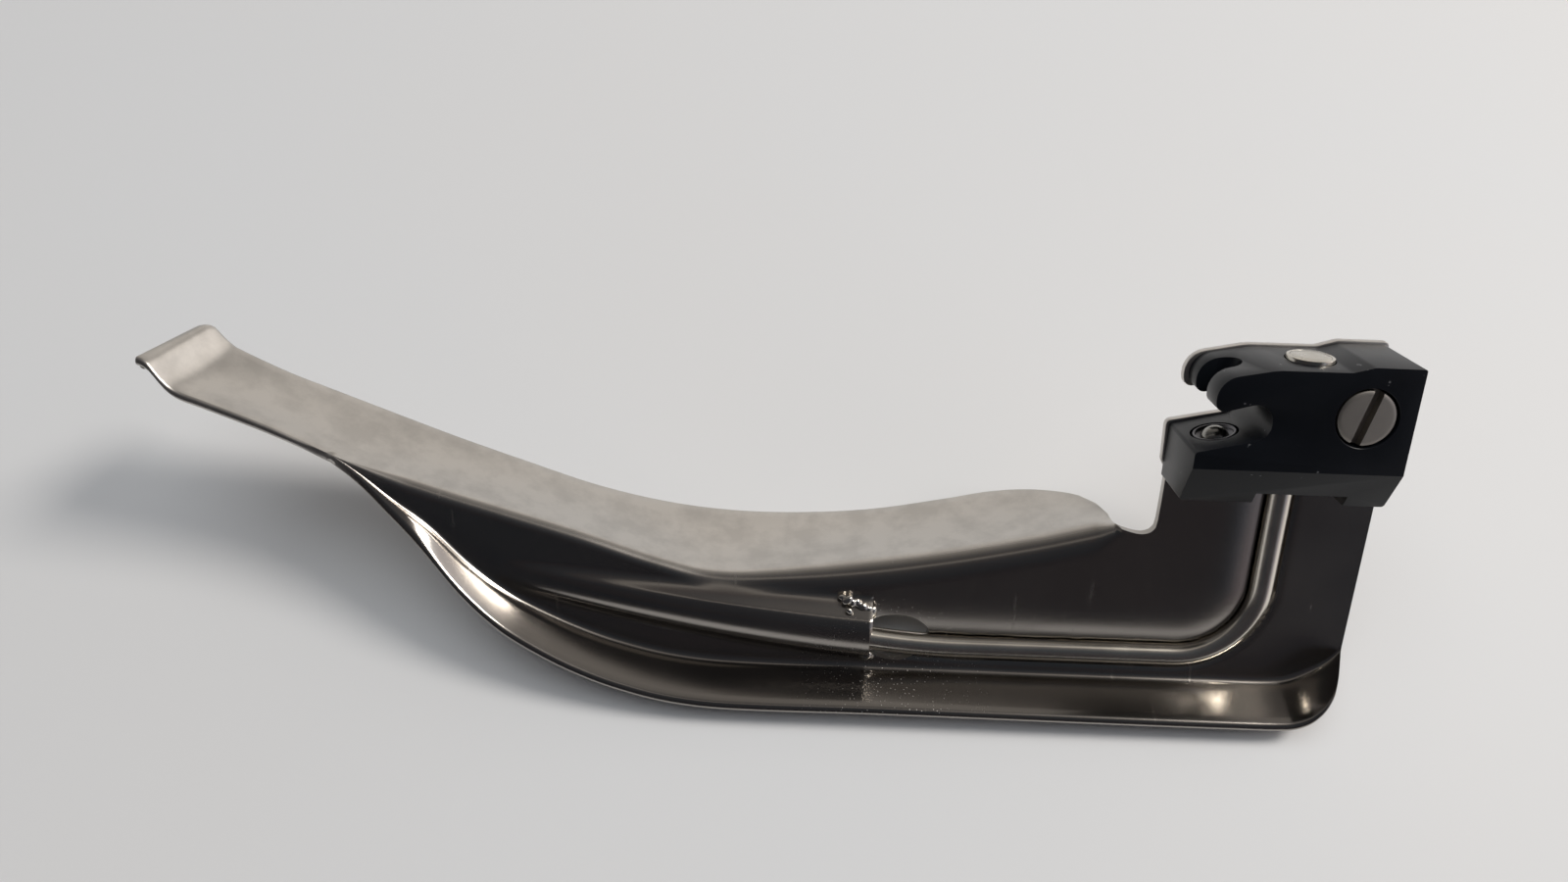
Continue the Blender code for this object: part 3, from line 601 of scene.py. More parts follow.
def node(tree, kind, settings={}, links={}, out=0):
    """Add one node and give one of its outputs.

    Settings fill its fields and sockets, or a ramp's "stops" of (place, grey value).
    """
    new = tree.nodes.new("ShaderNode" + kind)
    for key, value in settings.items():
        if key == "stops":
            elements = new.color_ramp.elements
            elements.remove(elements[1])
            for k, (position, grey) in enumerate(value):
                element = elements[0] if k == 0 else elements.new(position)
                element.position = position
                element.color = (grey, grey, grey, 1.0)
        elif isinstance(key, str) and hasattr(new, key):
            setattr(new, key, value)
        else:
            new.inputs[key].default_value = value
    plug(tree, new, links)
    return new.outputs[out]


def start_material(name, settings):
    """A new material with its shader's fixed values set on the sockets."""
    material = bpy.data.materials.new(name)
    material.use_nodes = True
    tree = material.node_tree
    shader = tree.nodes["Principled BSDF"]
    for key, value in settings.items():
        shader.inputs[key].default_value = value
    return material, tree, shader


def pressed_stainless(finish):
    """304 stainless sheet, pressed, then wheel polished; its tongue is satin blasted.

    To the eye the web and flange are near mirrors with fine polishing lines and stray
    scratches, and the tongue a warm satin grey with wiped smears.  Pale dust has settled on
    the flange under the tunnel's mouth.
    """
    material, tree, shader = start_material("pressed_stainless", {"Metallic": 1.0})
    sheet = node(tree, "UVMap", {"uv_map": "sheet"})
    solid = node(tree, "TexCoord", out="Object")
    satin = node(tree, "Attribute", {"attribute_name": "satin"}, out="Fac")
    smear = node(tree, "TexNoise", {"Scale": scale_for(4.8), "Detail": 6.0,
                                    "Roughness": 0.62}, {"Vector": solid})
    cloud = node(tree, "TexNoise", {"Scale": scale_for(22.0), "Detail": 3.0}, {"Vector": solid})
    along = node(tree, "Mapping", {"Scale": (scale_for(70.0), scale_for(0.7), 1.0)},
                 {"Vector": sheet})
    lines = node(tree, "TexNoise", {"Scale": 1.0, "Detail": 2.0}, {"Vector": along})
    # Real scratches are hundredths of a millimetre wide, drawn coarser so that they show.
    across = node(tree, "Mapping", {"Scale": (scale_for(1.1), scale_for(17.0), 1.0),
                                    "Rotation": (0, 0, 0.5)}, {"Vector": sheet})
    scratched = node(tree, "TexNoise", {"Scale": 1.0, "Detail": 4.0}, {"Vector": across})
    scratch = node(tree, "ValToRGB", {"stops": [(0.66, 0.0), (0.74, 1.0)]}, {"Fac": scratched})
    tone = node(tree, "MixRGB", {"Color1": linear("A5A09A"), "Color2": linear(finish.steel)},
                {"Fac": satin})
    patch = node(tree, "ValToRGB", {"stops": [(0.38, 0.80), (0.58, 1.0)]}, {"Fac": smear})
    wiped = node(tree, "Math", {"operation": "MULTIPLY", 1: 0.75}, {0: satin})
    mixed = node(tree, "MixRGB", {"blend_type": "MULTIPLY"},
                 {"Fac": wiped, "Color1": tone, "Color2": patch})
    grit = node(tree, "TexVoronoi", {"Scale": scale_for(0.53)}, {"Vector": solid},
                out="Distance")
    spot = node(tree, "ValToRGB", {"stops": [(0.10, 1.0), (0.16, 0.0)]}, {"Fac": grit})
    near = node(tree, "VectorMath", {"operation": "DISTANCE",
                                     1: REST @ Vector((-0.058, -0.0495, 0.004))},
                {0: solid}, out="Value")
    settled = node(tree, "ValToRGB", {"stops": [(0.003, 0.8), (0.014, 0.0)]}, {"Fac": near})
    dust = node(tree, "Math", {"operation": "MULTIPLY"}, {0: spot, 1: settled})
    dusted = node(tree, "MixRGB", {"Color2": linear("F4F2EE")}, {"Fac": dust, "Color1": mixed})
    rough = node(tree, "Math", {"operation": "MULTIPLY_ADD",
                                1: finish.tongue_roughness - finish.web_roughness,
                                2: finish.web_roughness - 0.072}, {0: satin})
    for source, share in ((cloud, 0.16), (scratch, 0.10), (dust, 0.5)):
        rough = node(tree, "Math", {"operation": "MULTIPLY_ADD", 1: share},
                     {0: source, 2: rough})
    height = node(tree, "Math", {"operation": "MULTIPLY", 1: 0.6}, {0: lines})
    height = node(tree, "Math", {"operation": "MULTIPLY_ADD", 1: -0.4},
                  {0: scratch, 2: height})
    bump = node(tree, "Bump", {"Strength": 0.05, "Distance": 0.0001}, {"Height": height})
    plug(tree, shader, {"Base Color": dusted, "Roughness": rough, "Normal": bump})
    return material


def bare_metal(name, colour, roughness, spread=0.10, cloud_size=3.3, grain_strength=0.04):
    """Bare metal with the small roughness changes that handling and polishing leave."""
    material, tree, shader = start_material(
        name, {"Metallic": 1.0, "Base Color": linear(colour)})
    solid = node(tree, "TexCoord", out="Object")
    cloud = node(tree, "TexNoise", {"Scale": scale_for(cloud_size), "Detail": 3.0},
                 {"Vector": solid})
    rough = node(tree, "Math", {"operation": "MULTIPLY_ADD", 1: spread,
                                2: roughness - spread / 2}, {0: cloud})
    grain = node(tree, "TexNoise", {"Scale": scale_for(0.38)}, {"Vector": solid})
    bump = node(tree, "Bump", {"Strength": grain_strength, "Distance": 0.00005},
                {"Height": grain})
    plug(tree, shader, {"Roughness": rough, "Normal": bump})
    return material


def black_anodised(finish):
    """Milled aluminium, fine blasted and black anodised: a soft satin blue black.

    To the eye it has a slight grain, and paler specks where it has been knocked.
    """
    material, tree, shader = start_material(
        "black_anodised_aluminium", {"Metallic": 0.0, "Specular IOR Level": 0.22})
    solid = node(tree, "TexCoord", out="Object")
    # The blasted grain is finer than 0.1 mm, drawn coarser so that it shows.
    grain = node(tree, "TexNoise", {"Scale": scale_for(0.45)}, {"Vector": solid})
    cloud = node(tree, "TexNoise", {"Scale": scale_for(6.2), "Detail": 3.0}, {"Vector": solid})
    tone = node(tree, "MixRGB", {"Color1": linear(finish.anodised),
                                 "Color2": linear("12151A")}, {"Fac": cloud})
    knocks = node(tree, "TexNoise", {"Scale": scale_for(1.1)}, {"Vector": solid})
    speck = node(tree, "ValToRGB", {"stops": [(0.735, 0.0), (0.76, 0.35)]}, {"Fac": knocks})
    worn = node(tree, "MixRGB", {"Color2": linear("8C8C8E")}, {"Fac": speck, "Color1": tone})
    rough = node(tree, "Math", {"operation": "MULTIPLY_ADD", 1: 0.14, 2: 0.25}, {0: cloud})
    bump = node(tree, "Bump", {"Strength": 0.12, "Distance": 0.00004}, {"Height": grain})
    plug(tree, shader, {"Base Color": worn, "Roughness": rough, "Normal": bump})
    return material


def ground_glass():
    """Optical glass, ground and polished: clear and hard, with a faint grinding haze."""
    material, tree, shader = start_material(
        "optical_glass", {"Base Color": linear("F2F6F6"), "Transmission Weight": 0.9,
                          "IOR": 1.52})
    solid = node(tree, "TexCoord", out="Object")
    haze = node(tree, "TexNoise", {"Scale": scale_for(1.1)}, {"Vector": solid})
    rough = node(tree, "Math", {"operation": "MULTIPLY", 1: 0.12}, {0: haze})
    plug(tree, shader, {"Roughness": rough})
    return material


def fibre_ends():
    """Glass fibres bonded and ground flush with their ferrule: a pale silvery grain.

    The real fibres are 0.05 mm across, drawn at 0.14 mm so that the grain shows.
    """
    material, tree, shader = start_material("fibre_ends", {"Metallic": 0.75})
    solid = node(tree, "TexCoord", out="Object")
    cells = node(tree, "TexVoronoi", {"Scale": scale_for(0.14)}, {"Vector": solid},
                 out="Distance")
    cloud = node(tree, "TexNoise", {"Scale": scale_for(2.0)}, {"Vector": solid})
    tone = node(tree, "MixRGB", {"Color1": linear("CFCBC2"), "Color2": linear("B3ADA2")},
                {"Fac": cloud})
    rough = node(tree, "Math", {"operation": "MULTIPLY_ADD", 1: 0.12, 2: 0.22}, {0: cloud})
    bump = node(tree, "Bump", {"Strength": 0.05, "Distance": 0.00003}, {"Height": cells})
    plug(tree, shader, {"Base Color": tone, "Roughness": rough, "Normal": bump})
    return material


def cured_resin():
    """Two-part epoxy potting resin, poured and cured: amber and slightly cloudy."""
    material, tree, shader = start_material(
        "potting_resin", {"Subsurface Weight": 0.15, "IOR": 1.5})
    solid = node(tree, "TexCoord", out="Object")
    cloud = node(tree, "TexNoise", {"Scale": scale_for(2.5)}, {"Vector": solid})
    tone = node(tree, "MixRGB", {"Color1": linear("8A6A3A"), "Color2": linear("A98A55")},
                {"Fac": cloud})
    rough = node(tree, "Math", {"operation": "MULTIPLY_ADD", 1: 0.2, 2: 0.25}, {0: cloud})
    plug(tree, shader, {"Base Color": tone, "Roughness": rough})
    return material


def pale_laminate(finish):
    """Melamine laminate, matt pressed: an even pale surface with faint cloudiness."""
    material, tree, shader = start_material("pale_laminate", {"Roughness": 0.62})
    solid = node(tree, "TexCoord", out="Object")
    cloud = node(tree, "TexNoise", {"Scale": scale_for(110.0), "Detail": 3.0},
                 {"Vector": solid})
    tone = node(tree, "MixRGB", {"Color1": linear(finish.floor), "Color2": linear("D8D9DA")},
                {"Fac": cloud})
    plug(tree, shader, {"Base Color": tone})
    return material


MATERIALS = {}


def materials():
    """Every finish, made once."""
    if not MATERIALS:
        finish = bpy.context.scene.blade_finish
        MATERIALS.update(
            sheet=pressed_stainless(finish),
            # Cold drawn 304 tube: a smooth warm grey with long soft highlights.
            tube=bare_metal("drawn_stainless_tube", "ECE6DA", 0.22, 0.1, 3.3, 0.02),
            # Silver braze, flowed and left: bright, liquid looking drops with dull skins.
            weld=bare_metal("silver_braze", "CFCBC3", 0.14, 0.2, 1.1, 0.2),
            housing=black_anodised(finish),
            # Turned stainless left as machined: a flat, slightly dull grey.
            screw=bare_metal("turned_steel", finish.screw, 0.50, 0.14, 1.4, 0.12),
            # Through-hardened bearing steel, lapped: a mirror whose darkened grey is painted
            # shade of its hole.
            ball=bare_metal("ball_painted_shade", "9A9893", 0.24, 0.04),
            # Hardened steel sleeve, ground and handled: dark grey as painted shade of the
            # recess, with a soft ring of light.
            sleeve=bare_metal("sleeve_painted_shade", "6E6D70", 0.36),
            # Stainless ferrule, faced on the lathe and buffed: bright and pale.
            ferrule=bare_metal("polished_ferrule", "CDC8BD", 0.18),
            fibres=fibre_ends(), glass=ground_glass(), resin=cured_resin())
    return MATERIALS


# ---- pieces --------------------------------------------------------------------------------
class BuildBladeSheet(bpy.types.Operator):
    """Press the blade: tongue, web, flange, groove, tunnel and heel plate from one sheet"""
    bl_idname = "laryngoscope.blade_sheet"
    bl_label = "Blade sheet"

    def execute(self, context):
        sizes = context.scene.blade_sizes
        rows = blade_rows()
        tongue_rows = [x for x in rows if x <= TONGUE_END_X + 0.001]
        web_rows = [x for x in rows if x >= WEB_START_X - 0.001]
        thick = in_mm(sizes.sheet)
        groove = in_mm(sizes.groove_depth)

        def web_section(x):
            top = smooth_table(PLATE_TOP_Y, x)
            first = (tongue_points(x, thick)[-1] if x <= TONGUE_END_X + 0.001 else
                     ((x, top, 0.0), (x, top, -thick)))
            return [first] + web_points(x, groove, thick)

        tongue = self.patch("tongue_patch", tongue_rows, lambda x: tongue_points(x, thick))
        web = self.patch("web_patch", web_rows, web_section)
        self.open_mouth(web)
        select_only(tongue)
        web.select_set(True)
        bpy.context.view_layer.objects.active = tongue
        bpy.ops.object.join()
        sheet = added("blade_sheet")
        edit(sheet, merge(0.0002))
        count = len(sheet.data.vertices)
        apply_modifier(sheet, "SOLIDIFY", thickness=thick * MM, offset=-1.0, use_rim=True)
        inner = sheet.data.attributes["inner"]
        for vert in sheet.data.vertices[count:]:
            vert.co = inner.data[vert.index].vector
        sheet.data.attributes.remove(inner)
        edit(sheet, merge(0.0002), face_outwards)
        end = [pair[0] for pair in tongue_points(TIP_X + 0.12, thick)[4:-4:2]]
        lip = pipe("tip_bead", [(px + 0.5, py - 1.05, pz + 0.1) for px, py, pz in end],
                   0.8, 24, taper=0.7)
        cut(sheet, lip, "UNION")
        plate = outline_solid("heel_plate", PLATE_OUTLINE, -thick + 0.004, -0.004)
        bevel(plate, 0.22, 55.0, 2)
        cut(sheet, plate, "UNION")
        end_r = 2.85
        arc = [math.pi / 2 * k / 10 for k in range(11)]
        spoon = turned("groove_end", [(0, 0), (end_r, 0)] + [
            (end_r * math.cos(a) if k < 10 else 0.0, 3.2 + end_r * math.sin(a))
            for k, a in enumerate(arc)], aim(TUBE_X, -16.7, TUBE_Z, UP), 48)
        cut(spoon, block("spoon_half", (-20, -20, -0.05), (0, -5, 6)))
        cut(sheet, spoon, "UNION")
        window = cylinder("window_cut", WINDOW_R, -6.0, 1.0, aim(WINDOW_X, WINDOW_Y, 0, OUT),
                          64)
        for vert in window.data.vertices:
            vert.co.y = WINDOW_Y * MM + (vert.co.y - WINDOW_Y * MM) * WINDOW_SQUEEZE
        cut(sheet, window)
        cut(sheet, pipe("bush_clear", [(SCREW_X, SCREW_Y, -4), (SCREW_X, SCREW_Y, 4)],
                        BUSH_R, 48))
        for x, y in DOWELS:
            cut(sheet, cylinder("dowel_clear", 1.15, -4, 3, aim(x, y, 0, OUT), 32))
        place(sheet, "blade", "sheet", "blade_shell", 38.0)
        return {"FINISHED"}

    def patch(self, name, rows, section):
        """A grid laid over the rows, each row shaped by its section."""
        sections = [section(x) for x in rows]
        across = len(sections[0])
        obj = add_primitive("grid", name, x_subdivisions=len(rows) - 1,
                            y_subdivisions=across - 1, size=1.0)
        mesh = obj.data
        on_tongue = name == "tongue_patch"
        uv = mesh.uv_layers.new(name="sheet")
        satin = mesh.attributes.new("satin", "FLOAT", "POINT")
        partner = mesh.attributes.new("inner", "FLOAT_VECTOR", "POINT")
        spots = [(round((vert.co.x + 0.5) * (len(rows) - 1)),
                  round((0.5 - vert.co.y) * (across - 1))) for vert in mesh.vertices]
        lengths = []
        for line in sections:
            total, run = 0.0, [0.0]
            for (a, _), (b, _) in zip(line, line[1:]):
                total += (Vector(b) - Vector(a)).length
                run.append(total)
            lengths.append(run)
        for vert, (i, j) in zip(mesh.vertices, spots):
            vert.co = Vector(sections[i][j][0]) * MM
            partner.data[vert.index].vector = Vector(sections[i][j][1]) * MM
            if on_tongue:
                satin.data[vert.index].value = 1.0
            elif rows[i] < TONGUE_END_X:
                satin.data[vert.index].value = max(0.0, 1.0 - lengths[i][j] / SATIN_FADE)
        for loop in mesh.loops:
            i, j = spots[loop.vertex_index]
            offset = -lengths[i][-1] if on_tongue else 0.0
            uv.data[loop.index].uv = (rows[i] * MM, (lengths[i][j] + offset) * MM)
        return obj

    def open_mouth(self, web):
        """Remove the wall of faces that closes the tunnel's mouth."""
        select_only(web)
        bpy.ops.object.mode_set(mode="EDIT")
        bpy.ops.mesh.select_mode(type="FACE")
        bpy.ops.mesh.select_all(action="DESELECT")
        bpy.ops.object.mode_set(mode="OBJECT")
        verts = web.data.vertices
        for face in web.data.polygons:
            xs, ys, zs = zip(*(verts[v].co / MM for v in face.vertices))
            at_mouth = MOUTH_X - 0.1 < min(xs) and max(xs) < MOUTH_X + 0.1
            under_tunnel = -46.5 < min(ys) and max(ys) < -35
            face.select = at_mouth and under_tunnel and max(zs) - min(zs) > 0.25
        bpy.ops.object.mode_set(mode="EDIT")
        bpy.ops.mesh.delete(type="FACE")
        bpy.ops.mesh.select_mode(type="VERT")
        bpy.ops.object.mode_set(mode="OBJECT")


class BuildBrazeBeads(bpy.types.Operator):
    """Run the two braze beads that close the tunnel's mouth onto the web"""
    bl_idname = "laryngoscope.braze_beads"
    bl_label = "Braze beads"

    def execute(self, context):
        self.bead("weld_bead_upper", [
            (-65.0, -37.0, 0.7, 0.40), (-64.3, -37.3, 1.0, 0.58), (-63.6, -37.7, 1.1, 0.44),
            (-62.9, -37.8, 0.8, 0.56), (-62.2, -38.2, 0.9, 0.60), (-61.5, -38.6, 0.9, 0.50),
            (-60.9, -39.0, 0.6, 0.58), (-60.6, -39.6, 0.1, 0.42), (-64.0, -38.4, 1.9, 0.38)])
        self.bead("weld_bead_lower", [
            (-61.9, -45.8, 0.2, 0.45), (-61.2, -46.0, 0.2, 0.58), (-60.6, -46.2, 0.0, 0.42)])
        return {"FINISHED"}

    def bead(self, name, drops):
        """Run drops of braze into one another."""
        made = []
        for k, (x, y, z, r) in enumerate(drops):
            drop = add_primitive("ico_sphere", "drop", subdivisions=3, radius=r * 1.25 * MM)
            bake(drop, Matrix.Translation(Vector((x, y, z)) * MM)
                 @ Matrix.Rotation(0.7 * k, 4, "Z") @ Matrix.Diagonal((1.25, 0.9, 0.8, 1)))
            made.append(drop)
        select_only(made[0])
        for drop in made:
            drop.select_set(True)
        bpy.ops.object.join()
        run = added(name + "_fine")
        apply_modifier(run, "REMESH", mode="VOXEL", voxel_size=0.09 * MM)
        apply_modifier(run, "SMOOTH", factor=0.6, iterations=3)
        place(run, "blade", "weld", name, 80.0)


class BuildHousing(bpy.types.Operator):
    """Mill the black housing: hook, throat, ledge, chamfer, recess and counterbore"""
    bl_idname = "laryngoscope.housing"
    bl_label = "Light guide housing"

    def execute(self, context):
        sizes = context.scene.blade_sizes
        housing = outline_solid("housing_body", HOUSING_OUTLINE, HOUSING_LOW, HOUSING_HIGH, 8)
        wedge = add_primitive("circle", "chamfer_cut", vertices=3, radius=0.01,
                              fill_type="NGON")
        for vert, (y, z) in zip(wedge.data.vertices,
                                ((-12.0, 11.09), (-21.9, 11.09), (-21.9, 5.75))):
            vert.co = (-0.03, y * MM, z * MM)
        extrude(wedge, (0.036, 0, 0))
        cut(housing, wedge)
        cut(housing, block("slot_cut", (-30, -8, SLOT_LOW), (SLOT_END_X, 3, SLOT_HIGH)))
        cut(housing, cylinder("slot_end", (SLOT_HIGH - SLOT_LOW) / 2, -4.0, 7.9,
                              aim(SLOT_END_X, -4.0, (SLOT_LOW + SLOT_HIGH) / 2, UP)))
        cut(housing, block("recess_cut", (-16.1, -22, -3), (-5.0, -16.6, 20)))
        bevel(housing, in_mm(sizes.housing_round), 22.0, 3)
        cut(housing, cylinder("tube_hole", 1.85, -4.0, 4.0,
                              aim(TUBE_X, -16.6, TUBE_Z, UP), 48))
        cut(housing, cylinder("inlet_hole", 2.95, -4.7, 4.0, INLET_AT, 64))
        cut(housing, cylinder("counterbore", 3.72, 8.0, 13.6, SCREW_AT, 72))
        cut(housing, turned("lead_in", [(0, 12.0), (5.17, 12.0), (3.6, 10.43), (0, 10.43)],
                            SCREW_AT, 72))
        cut(housing, cylinder("screw_hole", 2.3, -3, 9, SCREW_AT, 48))
        cut(housing, cylinder("bush_hole", BUSH_R + 0.1, -4, 2.2, SCREW_AT, 48))
        cut(housing, cylinder("sleeve_hole", 2.85, -6.9, 3.0, DETENT_AT, 64))
        place(housing, "blade", "housing", "light_guide_housing", 24.0)
        return {"FINISHED"}


class BuildLightTube(bpy.types.Operator):
    """Draw and bend the light tube, from the housing to its end in the tunnel"""
    bl_idname = "laryngoscope.light_tube"
    bl_label = "Light tube"

    def execute(self, context):
        sizes = context.scene.blade_sizes
        line = tube_line(-13.4, OUTLET_X)
        line.append((OUTLET_X, TUBE_Y + 1.125 + 0.15 * 22, TUBE_Z + 0.3))
        tube = pipe("light_tube_fine", line, in_mm(sizes.tube_radius), 32, TUBE_WALL)
        place(tube, "blade", "tube", "light_tube", 60.0)
        return {"FINISHED"}


class BuildInlet(bpy.types.Operator):
    """Turn the light inlet's ferrule and grind the fibre face flush with it"""
    bl_idname = "laryngoscope.inlet"
    bl_label = "Light inlet"

    def execute(self, context):
        ferrule = turned("inlet_ferrule_fine", [
            (2.36, 0.46), (2.40, 0.5), (2.62, 0.5), (2.74, 0.44), (2.8, 0.3), (2.8, -4.4),
            (1.9, -4.4), (1.9, -0.9), (2.36, -0.9), (2.36, 0.46)], INLET_AT, 72)
        place(ferrule, "blade", "ferrule", "inlet_ferrule", 40.0)
        face = turned("inlet_face_fine", [
            (0, 0.5), (1.2, 0.5), (2.28, 0.49), (2.33, 0.45), (2.33, -0.75), (0, -0.75)],
            INLET_AT, 72)
        place(face, "blade", "fibres", "inlet_fibre_face", 40.0)
        return {"FINISHED"}


class BuildScrew(bpy.types.Operator):
    """Turn the slotted cheese-head screw"""
    bl_idname = "laryngoscope.screw"
    bl_label = "Retaining screw"

    def execute(self, context):
        sizes = context.scene.blade_sizes
        profile = [(0, 10.55), (2.9, 10.55), (3.2, 10.52), (3.38, 10.42), (3.45, 10.25),
                   (3.45, 8.45), (2.0, 8.45)]
        for k in range(9):
            z = 8.2 - k * 1.05
            profile += [(2.0, z), (1.78, z - 0.5)]
        profile += [(1.6, -1.1), (0, -1.1)]
        screw = turned("housing_screw_fine", profile, SCREW_AT, 80)
        half_slot = in_mm(sizes.screw_slot) / 2
        slot = block("slot", (-6, -half_slot, 9.45), (6, half_slot, 13))
        bake(slot, SCREW_AT @ Matrix.Rotation(math.radians(76), 4, "Z"))
        cut(screw, slot)
        place(screw, "screw", "screw", "housing_screw", 30.0)
        return {"FINISHED"}


class BuildDetent(bpy.types.Operator):
    """Make the spring ball detent in the ledge: sleeve, ball and wound spring"""
    bl_idname = "laryngoscope.detent"
    bl_label = "Ball detent"

    def execute(self, context):
        sleeve = turned("detent_sleeve_fine", [
            (1.56, -0.62), (2.18, -0.34), (2.26, -0.08), (2.34, -0.02), (2.5, -0.02),
            (2.6, -0.14), (2.6, -6.6), (2.0, -6.6), (2.0, -1.1), (1.56, -0.62)],
            DETENT_AT, 72)
        place(sleeve, "blade", "sleeve", "detent_sleeve", 40.0)
        ball_r, ball_sunk, steps = 1.75, 1.05, 32
        arc = [math.pi * k / steps for k in range(steps + 1)]
        ball = turned("detent_ball_fine", [
            (ball_r * math.sin(a) if 0 < k < steps else 0.0, ball_r * math.cos(a) - ball_sunk)
            for k, a in enumerate(arc)], DETENT_AT, 64)
        place(ball, "ball", "ball", "detent_ball", 80.0)
        foot, top, turns, coil_r, wire_r = -5.25, -2.57, 5, 1.25, 0.19
        coil = [(coil_r * math.cos(math.pi * k / 8), coil_r * math.sin(math.pi * k / 8),
                 foot + (top - foot) * k / (turns * 16)) for k in range(turns * 16 + 1)]
        spring = pipe("detent_spring_fine", coil, wire_r, 12)
        bake(spring, DETENT_AT)
        place(spring, "blade", "screw", "detent_spring", 60.0)
        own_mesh(spring)
        return {"FINISHED"}


class FinishHiddenParts(bpy.types.Operator):
    """Give the small inner parts their real finishes"""
    bl_idname = "laryngoscope.hidden_parts"
    bl_label = "Inner parts"

    def execute(self, context):
        made = materials()
        for name, key in (("fibre_bundle", "fibres"), ("inlet_potting", "resin"),
                          ("outlet_ferrule", "ferrule"), ("outlet_lens", "glass"),
                          ("screw_washer", "screw"), ("screw_bush", "screw"),
                          ("detent_plug", "screw"), ("dowel_left", "screw"),
                          ("dowel_right", "screw")):
            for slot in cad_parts[name].material_slots:
                slot.material = made[key]
        return {"FINISHED"}


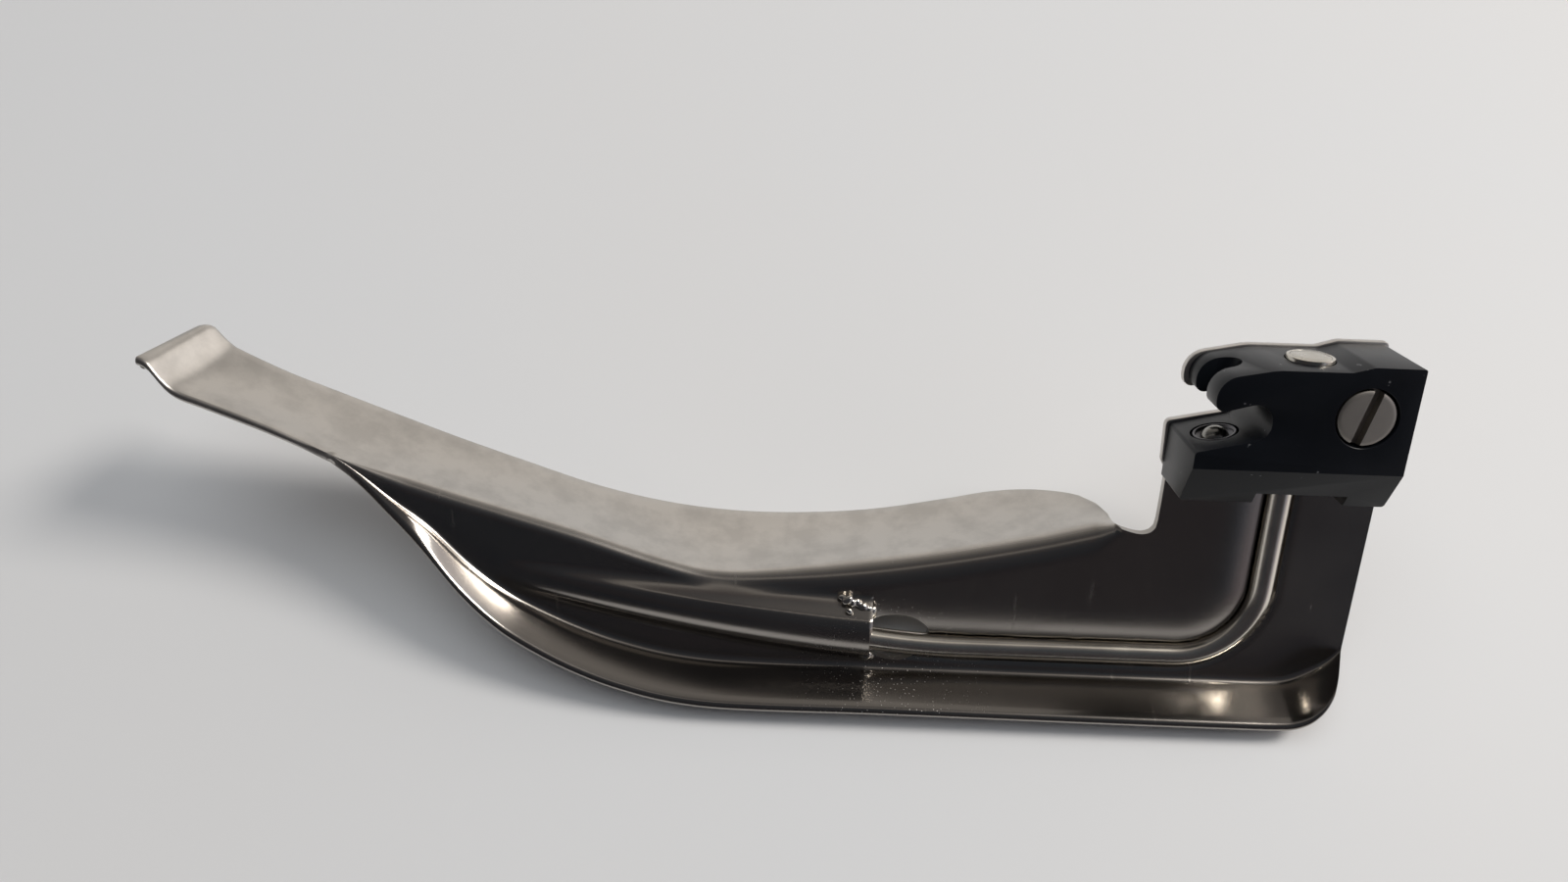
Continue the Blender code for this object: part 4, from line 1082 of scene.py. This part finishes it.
class BuildStage(bpy.types.Operator):
    """Lay the pale surface and set the soft light and the camera"""
    bl_idname = "laryngoscope.stage"
    bl_label = "Stage"

    def execute(self, context):
        finish = context.scene.blade_finish
        floor = add_primitive("plane", "pale_surface", size=6.0)
        floor.data.materials.append(pale_laminate(finish))
        self.light("key", (0.66, 0.24, 0.78), 0.32, 6.0, "FFFAF4", True)
        self.light("overhead", (-0.10, 0.25, 1.25), 1.3, 7.1, "F4FAFF", False)
        self.studio_air()
        self.camera()
        bpy.context.scene.view_settings.view_transform = "Standard"
        return {"FINISHED"}

    def studio_air(self):
        """Soft light all round: dim in front, bright behind, a strip light overhead."""
        world = bpy.data.worlds.new("studio")
        world.use_nodes = True
        bpy.context.scene.world = world
        tree = world.node_tree
        coord = node(tree, "TexCoord", out="Generated")
        away, across = (node(tree, "SeparateXYZ", links={"Vector": coord}, out=axis)
                        for axis in "YX")
        half = {"operation": "MULTIPLY_ADD", 1: 0.5, 2: 0.5}
        depth = node(tree, "ValToRGB", {"stops": [
            (0.0, 0.050), (0.05, 0.056), (0.16, 0.070), (0.30, 0.08), (0.48, 0.10),
            (0.545, 0.10), (0.600, 0.46), (0.655, 0.12),
            (0.70, 0.12), (0.86, 0.24), (0.94, 0.40), (0.98, 0.8), (1.0, 0.95)]},
            {"Fac": node(tree, "Math", half, {0: away})})
        side = node(tree, "ValToRGB", {"stops": [
            (0.0, 0.058), (0.35, 0.076), (0.74, 0.09), (0.86, 0.6), (1.0, 0.8)]},
            {"Fac": node(tree, "Math", half, {0: across})})
        level = node(tree, "Math", {"operation": "MULTIPLY", 1: 12.0}, {0: depth})
        level = node(tree, "Math", {"operation": "MULTIPLY"}, {0: level, 1: side})
        spread = node(tree, "Mapping", {"Scale": (2.2, 1.0, 9.0)}, {"Vector": coord})
        patches = node(tree, "TexNoise", {"Scale": 1.3, "Detail": 2.0, "Roughness": 0.55},
                       {"Vector": spread})
        patches = node(tree, "ValToRGB", {"stops": [(0.40, 0.0), (0.60, 1.0)]},
                       {"Fac": patches})
        room = node(tree, "MixRGB", {"Color1": linear("80A6CA"), "Color2": linear("D2B8C2")},
                    {"Fac": patches})
        lit = node(tree, "Math", {"operation": "MULTIPLY", 1: 4.5}, {0: depth})
        tint = node(tree, "MixRGB", {"Color2": linear("F4EEE8")}, {"Fac": lit, "Color1": room})
        light = node(tree, "MixRGB", {"blend_type": "MULTIPLY", "Fac": 1.0},
                     {"Color1": tint, "Color2": level})
        plug(tree, tree.nodes["Background"], {"Color": light})

    def camera(self):
        """A camera above and in front of the blade, laid out in the blade's own frame.

        The blade frame's origin stands right of, above and before the lens by `offset`.
        """
        pitch, roll = math.radians(20.6), math.radians(2.1)
        c, s = math.cos(pitch), math.sin(pitch)
        view = Matrix(((1, 0, 0), (0, -c, s), (0, -s, -c)))
        to_camera = Matrix.Rotation(roll, 3, "Z") @ view
        offset = Vector((74.0, -11.58, 144.75))
        centre = -(to_camera.transposed() @ offset) * MM
        flip = Matrix(((1, 0, 0), (0, -1, 0), (0, 0, -1)))
        data = bpy.data.cameras.new("camera")
        data.lens = 27.0
        data.sensor_width = 36.0
        data.clip_start = 0.005
        camera = bpy.data.objects.new("camera", data)
        bpy.context.scene.collection.objects.link(camera)
        pose = (to_camera.transposed() @ flip).to_4x4()
        pose.translation = centre
        camera.matrix_world = REST @ pose
        bpy.context.scene.camera = camera

    def light(self, name, where, size, power, colour, in_reflections):
        """A round area lamp turned towards the blade."""
        data = bpy.data.lights.new(name, "AREA")
        data.shape = "DISK"
        data.size = size
        data.energy = power
        data.color = linear(colour)[:3]
        obj = bpy.data.objects.new(name, data)
        bpy.context.scene.collection.objects.link(obj)
        obj.visible_glossy = in_reflections
        obj.location = where
        toward = Vector((0, 0, 0.01)) - Vector(where)
        obj.rotation_euler = toward.to_track_quat("-Z", "Y").to_euler()


OPERATORS = (BuildStage, BuildBladeSheet, BuildBrazeBeads, BuildHousing, BuildLightTube,
             BuildInlet, BuildScrew, BuildDetent, FinishHiddenParts)


class BladePanel(bpy.types.Panel):
    bl_idname = "VIEW3D_PT_laryngoscope"
    bl_label = "Laryngoscope blade"
    bl_space_type = "VIEW_3D"
    bl_region_type = "UI"
    bl_category = "Laryngoscope"

    def draw(self, context):
        column = self.layout.column()
        for operator in OPERATORS:
            column.operator(operator.bl_idname)
        for name in BladeSizes.__annotations__:
            column.prop(context.scene.blade_sizes, name)
        for name in BladeFinish.__annotations__:
            column.prop(context.scene.blade_finish, name)


CLASSES = (BladeSizes, BladeFinish, *OPERATORS, BladePanel)


def register():
    for cls in CLASSES:
        bpy.utils.register_class(cls)
    bpy.types.Scene.blade_sizes = bpy.props.PointerProperty(type=BladeSizes)
    bpy.types.Scene.blade_finish = bpy.props.PointerProperty(type=BladeFinish)


def unregister():
    del bpy.types.Scene.blade_sizes
    del bpy.types.Scene.blade_finish
    for cls in reversed(CLASSES):
        bpy.utils.unregister_class(cls)


def main():
    register()
    for operator in OPERATORS:
        name = operator.bl_idname.split(".")[1]
        result = getattr(bpy.ops.laryngoscope, name)()
        if result != {"FINISHED"}:
            raise RuntimeError(name + " did not finish")


if __name__ == "__main__":
    main()
